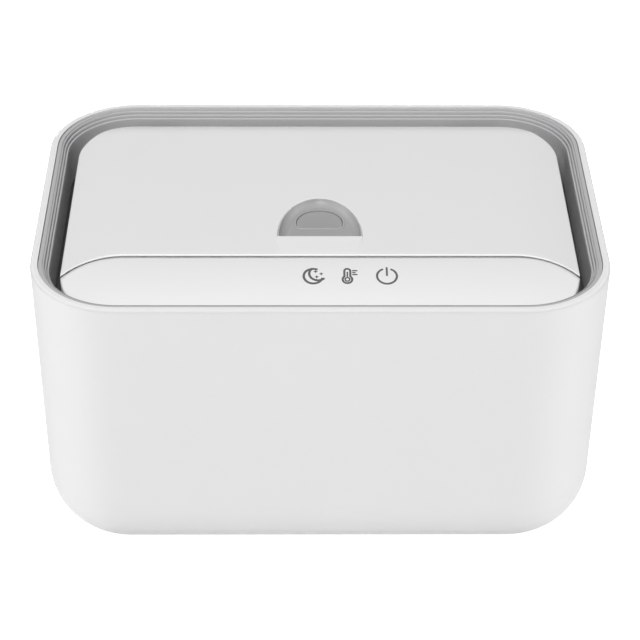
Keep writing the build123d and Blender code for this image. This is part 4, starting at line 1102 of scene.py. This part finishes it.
def buttonLoop(grow):
    # straight front, round corners, upright shoulders, then half an ellipse; places as on the scoop's edge
    frontEnd, cornerEnd, shoulderEnd = padPlaces
    half, front = button["half"] + grow, button["front"] - grow
    corner, shoulder = button["corner"] + grow, button["front"] - grow + button["shoulder"]
    straight = np.clip(scoopPlaces / frontEnd, 0.0, 1.0) * (half - corner)
    bend = np.clip((scoopPlaces - frontEnd) / (cornerEnd - frontEnd), 0.0, 1.0) * np.pi / 2
    up = np.clip((scoopPlaces - cornerEnd) / (shoulderEnd - cornerEnd), 0.0, 1.0)
    rise = np.clip((scoopPlaces - shoulderEnd) / (1 - shoulderEnd), 0.0, 1.0) * np.pi / 2
    x = np.where(scoopPlaces < shoulderEnd, straight + corner * np.sin(bend), half * np.cos(rise))
    low = front + corner * (1 - np.cos(bend)) + up * (shoulder - front - corner)
    y = np.where(scoopPlaces < shoulderEnd, low, shoulder + (button["back"] + grow - shoulder) * np.sin(rise))
    return wholeLoop(np.column_stack([x, y]))


def scoopPiece():
    # loops carried up the outside with its flange, down the hollow wall, and over the floor to the pad's bead
    outer = scoopLoop(0.0, 0.0, scoop["corner"])
    under = scoopFloor(outer[:, 1]) - scoop["thick"]
    flange = scoopLoop(-scoop["flange"], -scoop["flange"], scoop["corner"] + scoop["flange"])
    rows = [rowAt(outer, np.minimum(under, scoop["flangeBottom"] - scoop["step"]))]
    rows += [rowAt(outer, scoop["flangeBottom"]), rowAt(flange, scoop["flangeBottom"])]
    rows += [rowAt(flange, scoop["flangeTop"]), rowAt(outer, scoop["flangeTop"])]
    rows.append(rowAt(outer, scoop["top"] - scoop["lipDrop"]))
    rows.append(rowAt(scoopLoop(scoop["fold"], scoop["fold"], scoop["corner"]), scoop["top"] - scoop["fold"]))
    # a hollow quarter: steep at the rim, running out level into the floor
    turn = np.linspace(scoop["hollowFrom"], np.pi / 2, 14)
    across = (np.cos(turn[0]) - np.cos(turn)) / np.cos(turn[0])
    hollow = (np.sin(turn) - np.sin(turn[0])) / (1 - np.sin(turn[0]))
    start = scoop["hollowStart"]
    path = np.vstack([scoop["rimPath"], np.column_stack([across, hollow * (1 - start) + start])])
    for inward, sunk in path:
        side = scoop["rim"] + inward * (scoop["bevel"] - scoop["rim"])
        front = scoop["rim"] + inward * scoop["frontLean"]
        loop = scoopLoop(side, front, scoop["corner"] + max(inward, 0.0) * scoop["cornerGain"])
        # towards the sides the wall is a straight slope instead
        sideways = np.clip((np.abs(loop[:, 0]) - scoop["straightFrom"]) / scoop["straightOver"], 0.0, 1.0)
        plain = np.clip(inward, 0.0, 1.0)
        plain = np.where(plain < 0.5, plain * 4 / 3, 1 - (1 - plain) ** 2 * 4 / 3)
        depth = sunk + (plain - sunk) * sideways * scoop["straightShare"]
        rows.append(rowAt(loop, scoop["top"] + depth * (scoopFloor(loop[:, 1]) - scoop["top"])))
    last = rows[-1][:, :2]
    bead = [
        (button["gap"] + scoop["beadWidth"] * (0.5 + 0.5 * np.cos(turn)), scoop["beadRise"] * np.sin(turn))
        for turn in np.linspace(0.0, np.pi, 9)
    ]
    outerBead = buttonLoop(bead[0][0])
    for share in (0.35, 0.7):
        loop = last * (1 - share) + outerBead * share
        rows.append(rowAt(loop, scoopFloor(loop[:, 1])))
    for grow, rise in bead:
        loop = buttonLoop(grow)
        rows.append(rowAt(loop, scoopFloor(loop[:, 1]) + rise))
    hole = buttonLoop(button["gap"])
    rows.append(rowAt(hole, scoopFloor(hole[:, 1]) - scoop["thick"]))
    points = np.stack(rows)
    return points, gridFaces(*points.shape[:2], closeRows=True)


addPiece("scoopCup", [scoopPiece()], "lid", "scoop_grey", stands=("grip_scoop",))


def buttonPiece():
    # loops carried up the side, round the edge, and inwards over a shallow dish that falls as a square
    middle = np.array([0.0, (button["front"] + button["back"]) / 2])
    outer = buttonLoop(0.0)
    rows = [rowAt(outer * 0.0 + middle, button["bottom"]), rowAt(outer, button["bottom"])]

    def level(loop):
        return scoopFloor(loop[:, 1]) - button["sink"]

    for turn in np.linspace(0.0, np.pi / 2, 6):
        loop = buttonLoop(-button["edge"] * (1 - np.cos(turn)))
        rows.append(rowAt(loop, level(loop) - button["edge"] * (1 - np.sin(turn))))
    crest = buttonLoop(-button["edge"])
    for share in np.linspace(0.0, 1.0, 12)[1:]:
        loop = crest * (1 - share) + middle * share
        rows.append(rowAt(loop, level(loop) - button["dish"] * (1 - (1 - share) ** 2)))
    points = np.stack(rows)
    return points, gridFaces(*points.shape[:2])


def boxPiece(low, high):
    # a box between two opposite corners
    outline = [(low[1], low[2]), (high[1], low[2]), (high[1], high[2]), (low[1], high[2])]
    return extrudeAcross(outline, low[0], high[0])


cam = {"foot": (-10.9, 116.4), "head": (-5.7, 121.6), "thick": 2.6, "half": 1.5}
tabs = {"centre": 8.65, "half": 1.6, "front": -6.7, "back": -2.7, "bottom": 120.4, "top": 121.4}


def camPiece(spec):
    # a slanting arm under the button that drives the bolt back
    (footY, footZ), (headY, headZ) = spec["foot"], spec["head"]
    outline = [(footY, footZ), (footY + spec["thick"], footZ), (headY + spec["thick"], headZ), (headY, headZ)]
    return extrudeAcross(outline, -spec["half"], spec["half"])


buttonParts = [buttonPiece(), camPiece(cam)]
for side in (-1, 1):
    middle = side * tabs["centre"]
    low = (middle - tabs["half"], tabs["front"], tabs["bottom"])
    buttonParts.append(boxPiece(low, (middle + tabs["half"], tabs["back"], tabs["top"])))
addPiece("releasePad", buttonParts, "button", "button_grey", stands=("release_button",))

# the return spring stands in the liner's well
coil = {
    "middleY": 0.2,
    "foot": 112.42,
    "head": 121.08,
    "radius": 1.6,
    "wire": 0.25,
    "turns": 6,
    "closing": 0.06,
    "seat": 112.1,
    "travel": 2.0,
}


def coilPoints(spec, rowCount=217, roundSteps=10):
    # rows of points round the wire, along a helix whose end turns lie closer together
    share = np.linspace(0.0, 1.0, rowCount)[:, None]
    turn = share * spec["turns"] * 2 * np.pi
    rise = share - spec["closing"] * np.sin(2 * np.pi * share)
    height = spec["foot"] + rise * (spec["head"] - spec["foot"])
    around = np.linspace(0.0, 2 * np.pi, roundSteps, endpoint=False)[None, :]
    thick = np.where((share <= 0) | (share >= 1), 0.0, spec["wire"])
    reach = spec["radius"] + thick * np.cos(around)
    x = reach * np.cos(turn)
    y = spec["middleY"] + reach * np.sin(turn)
    return np.stack([x, y, height - thick * np.sin(around)], axis=-1)


wirePoints = coilPoints(coil)
returnSpring = addPiece(
    "returnSpring",
    [(wirePoints, gridFaces(*wirePoints.shape[:2]))],
    "lid",
    "steel_pin",
    stands=("button_spring",),
)
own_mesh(returnSpring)
print("scoop and release pad made")

# touch icons: thin printed strokes on the sloping panel
ink = {
    "down": 12.1,
    "stretch": 1.05,
    "raise": 0.03,
    "sink": 0.02,
    "broad": 1.0,
    "middling": 0.9,
    "fine": 0.66,
    "moonX": -2.9,
    "heatX": 10.7,
    "powerX": 26.5,
}


def onPanel(u, v, lift):
    # u to the right and v up the slope from the row of icons, lift square to the panel
    slope = np.arctan(crown["slope"])
    run = ink["down"] - v * ink["stretch"]
    y = crown["crease"] - run * np.cos(slope) - lift * np.sin(slope)
    return np.stack([u, y, panelHeight(u, y) + lift / np.cos(slope)], axis=-1)


def strokeSlab(path, width, centreX, closed=False):
    # a path widened to both sides of its own direction; open ends close as half circles
    path = np.asarray(path, float)
    if closed:
        along = np.roll(path, -1, axis=0) - np.roll(path, 1, axis=0)
        reach = np.full(len(path), width / 2)
    else:
        along = np.gradient(path, axis=0)
    along /= np.linalg.norm(along, axis=1, keepdims=True)
    if not closed:
        turn = np.linspace(np.pi / 2, 0.0, 6)[:-1]
        head = path[0] - along[0] * np.sin(turn)[:, None] * width / 2
        tail = path[-1] + along[-1] * np.sin(turn)[::-1, None] * width / 2
        ends = np.cos(turn) * width / 2
        reach = np.concatenate([ends, np.full(len(path), width / 2), ends[::-1]])
        path = np.vstack([head, path, tail])
        along = np.vstack([np.repeat(along[:1], 5, axis=0), along, np.repeat(along[-1:], 5, axis=0)])
    aside = np.column_stack([-along[:, 1], along[:, 0]]) * reach[:, None]
    left, right = path + aside, path - aside
    corners = [(left, ink["raise"]), (right, ink["raise"]), (right, -ink["sink"]), (left, -ink["sink"])]
    points = np.stack([onPanel(flat[:, 0] + centreX, flat[:, 1], lift) for flat, lift in corners], axis=1)
    return points, gridFaces(len(path), 4, closeRows=closed)


def arcPath(centre, radius, start, end, count):
    # part of a circle between two angles in degrees
    angle = np.radians(np.linspace(start, end, count))
    return np.column_stack([centre[0] + radius * np.cos(angle), centre[1] + radius * np.sin(angle)])


def straightPath(start, end):
    # four points on a line
    share = np.linspace(0.0, 1.0, 4)[:, None]
    return np.asarray(start) * (1 - share) + np.asarray(end) * share


def starSlab(centre, size, centreX):
    # four points, with the edge drawn in between them
    angle = np.radians(np.arange(0, 360, 45))
    radius = np.where(np.arange(8) % 2 == 0, size, size * 0.42)
    outline = np.column_stack([centre[0] + radius * np.cos(angle), centre[1] + radius * np.sin(angle)])
    middle = np.repeat(np.asarray([centre], float), 8, axis=0)
    loops = [(middle, -ink["sink"]), (outline, -ink["sink"]), (outline, ink["raise"]), (middle, ink["raise"])]
    points = np.stack([onPanel(flat[:, 0] + centreX, flat[:, 1], lift) for flat, lift in loops])
    return points, gridFaces(4, 8)


# each mark's lines in millimetres from its own middle: arcs as centre, radius, first and last angle, points
moonMark = {
    "arcs": (((0.0, 0.0), 3.8, 69.0, 340.0, 80), ((1.9, 1.3), 3.5, 133.0, 310.0, 60)),
    "stars": (((0.98, 2.43), 1.0), ((3.17, 1.16), 0.95), ((1.39, -0.42), 0.95)),
}
heatMark = {
    "half": 1.18,
    "bulb": 1.9,
    "low": -1.75,
    "top": 3.84,
    "column": ((0.0, 1.97), (0.0, -0.6)),
    "ball": ((0.0, -1.73), 0.9, 0.0, 350.0, 36),
    "ticks": ((2.85, 1.6), (1.83, 0.83), (0.77, 1.6)),
    "tickStart": 2.2,
}
powerMark = {"arc": ((0.0, 0.0), 3.95, 117.0, 423.0, 80), "stem": ((0.0, 0.39), (0.0, 4.44)), "stemWidth": 0.8}


def heatOutline(mark):
    # the bulb's arc from one side of the tube round to the other, then the tube and its round top
    meet = np.degrees(np.arccos(mark["half"] / mark["bulb"]))
    bulb = arcPath((0.0, mark["low"]), mark["bulb"], 180.0 - meet, 360.0 + meet, 40)
    head = arcPath((0.0, mark["top"] - mark["half"]), mark["half"], 0.0, 180.0, 20)
    rising, falling = straightPath(bulb[-1], head[0])[1:-1], straightPath(head[-1], bulb[0])[1:-1]
    return np.vstack([bulb, rising, head, falling])


moon = [strokeSlab(arcPath(*arc), ink["broad"], ink["moonX"]) for arc in moonMark["arcs"]]
moon += [starSlab(centre, size, ink["moonX"]) for centre, size in moonMark["stars"]]
heat = [
    strokeSlab(heatOutline(heatMark), ink["middling"], ink["heatX"], closed=True),
    strokeSlab(straightPath(*heatMark["column"]), ink["fine"], ink["heatX"]),
    strokeSlab(arcPath(*heatMark["ball"]), ink["fine"], ink["heatX"], closed=True),
]
for level, length in heatMark["ticks"]:
    start = heatMark["tickStart"]
    heat.append(strokeSlab(straightPath((start, level), (start + length, level)), ink["fine"], ink["heatX"]))
power = [
    strokeSlab(arcPath(*powerMark["arc"]), ink["middling"], ink["powerX"]),
    strokeSlab(straightPath(*powerMark["stem"]), powerMark["stemWidth"], ink["powerX"]),
]
for iconName, strokes in (("moonIcon", moon), ("heatIcon", heat), ("powerIcon", power)):
    icon = addPiece(iconName, strokes, "base", "trim_grey")
    icon.data.materials[0] = iconInk
print("icons made")
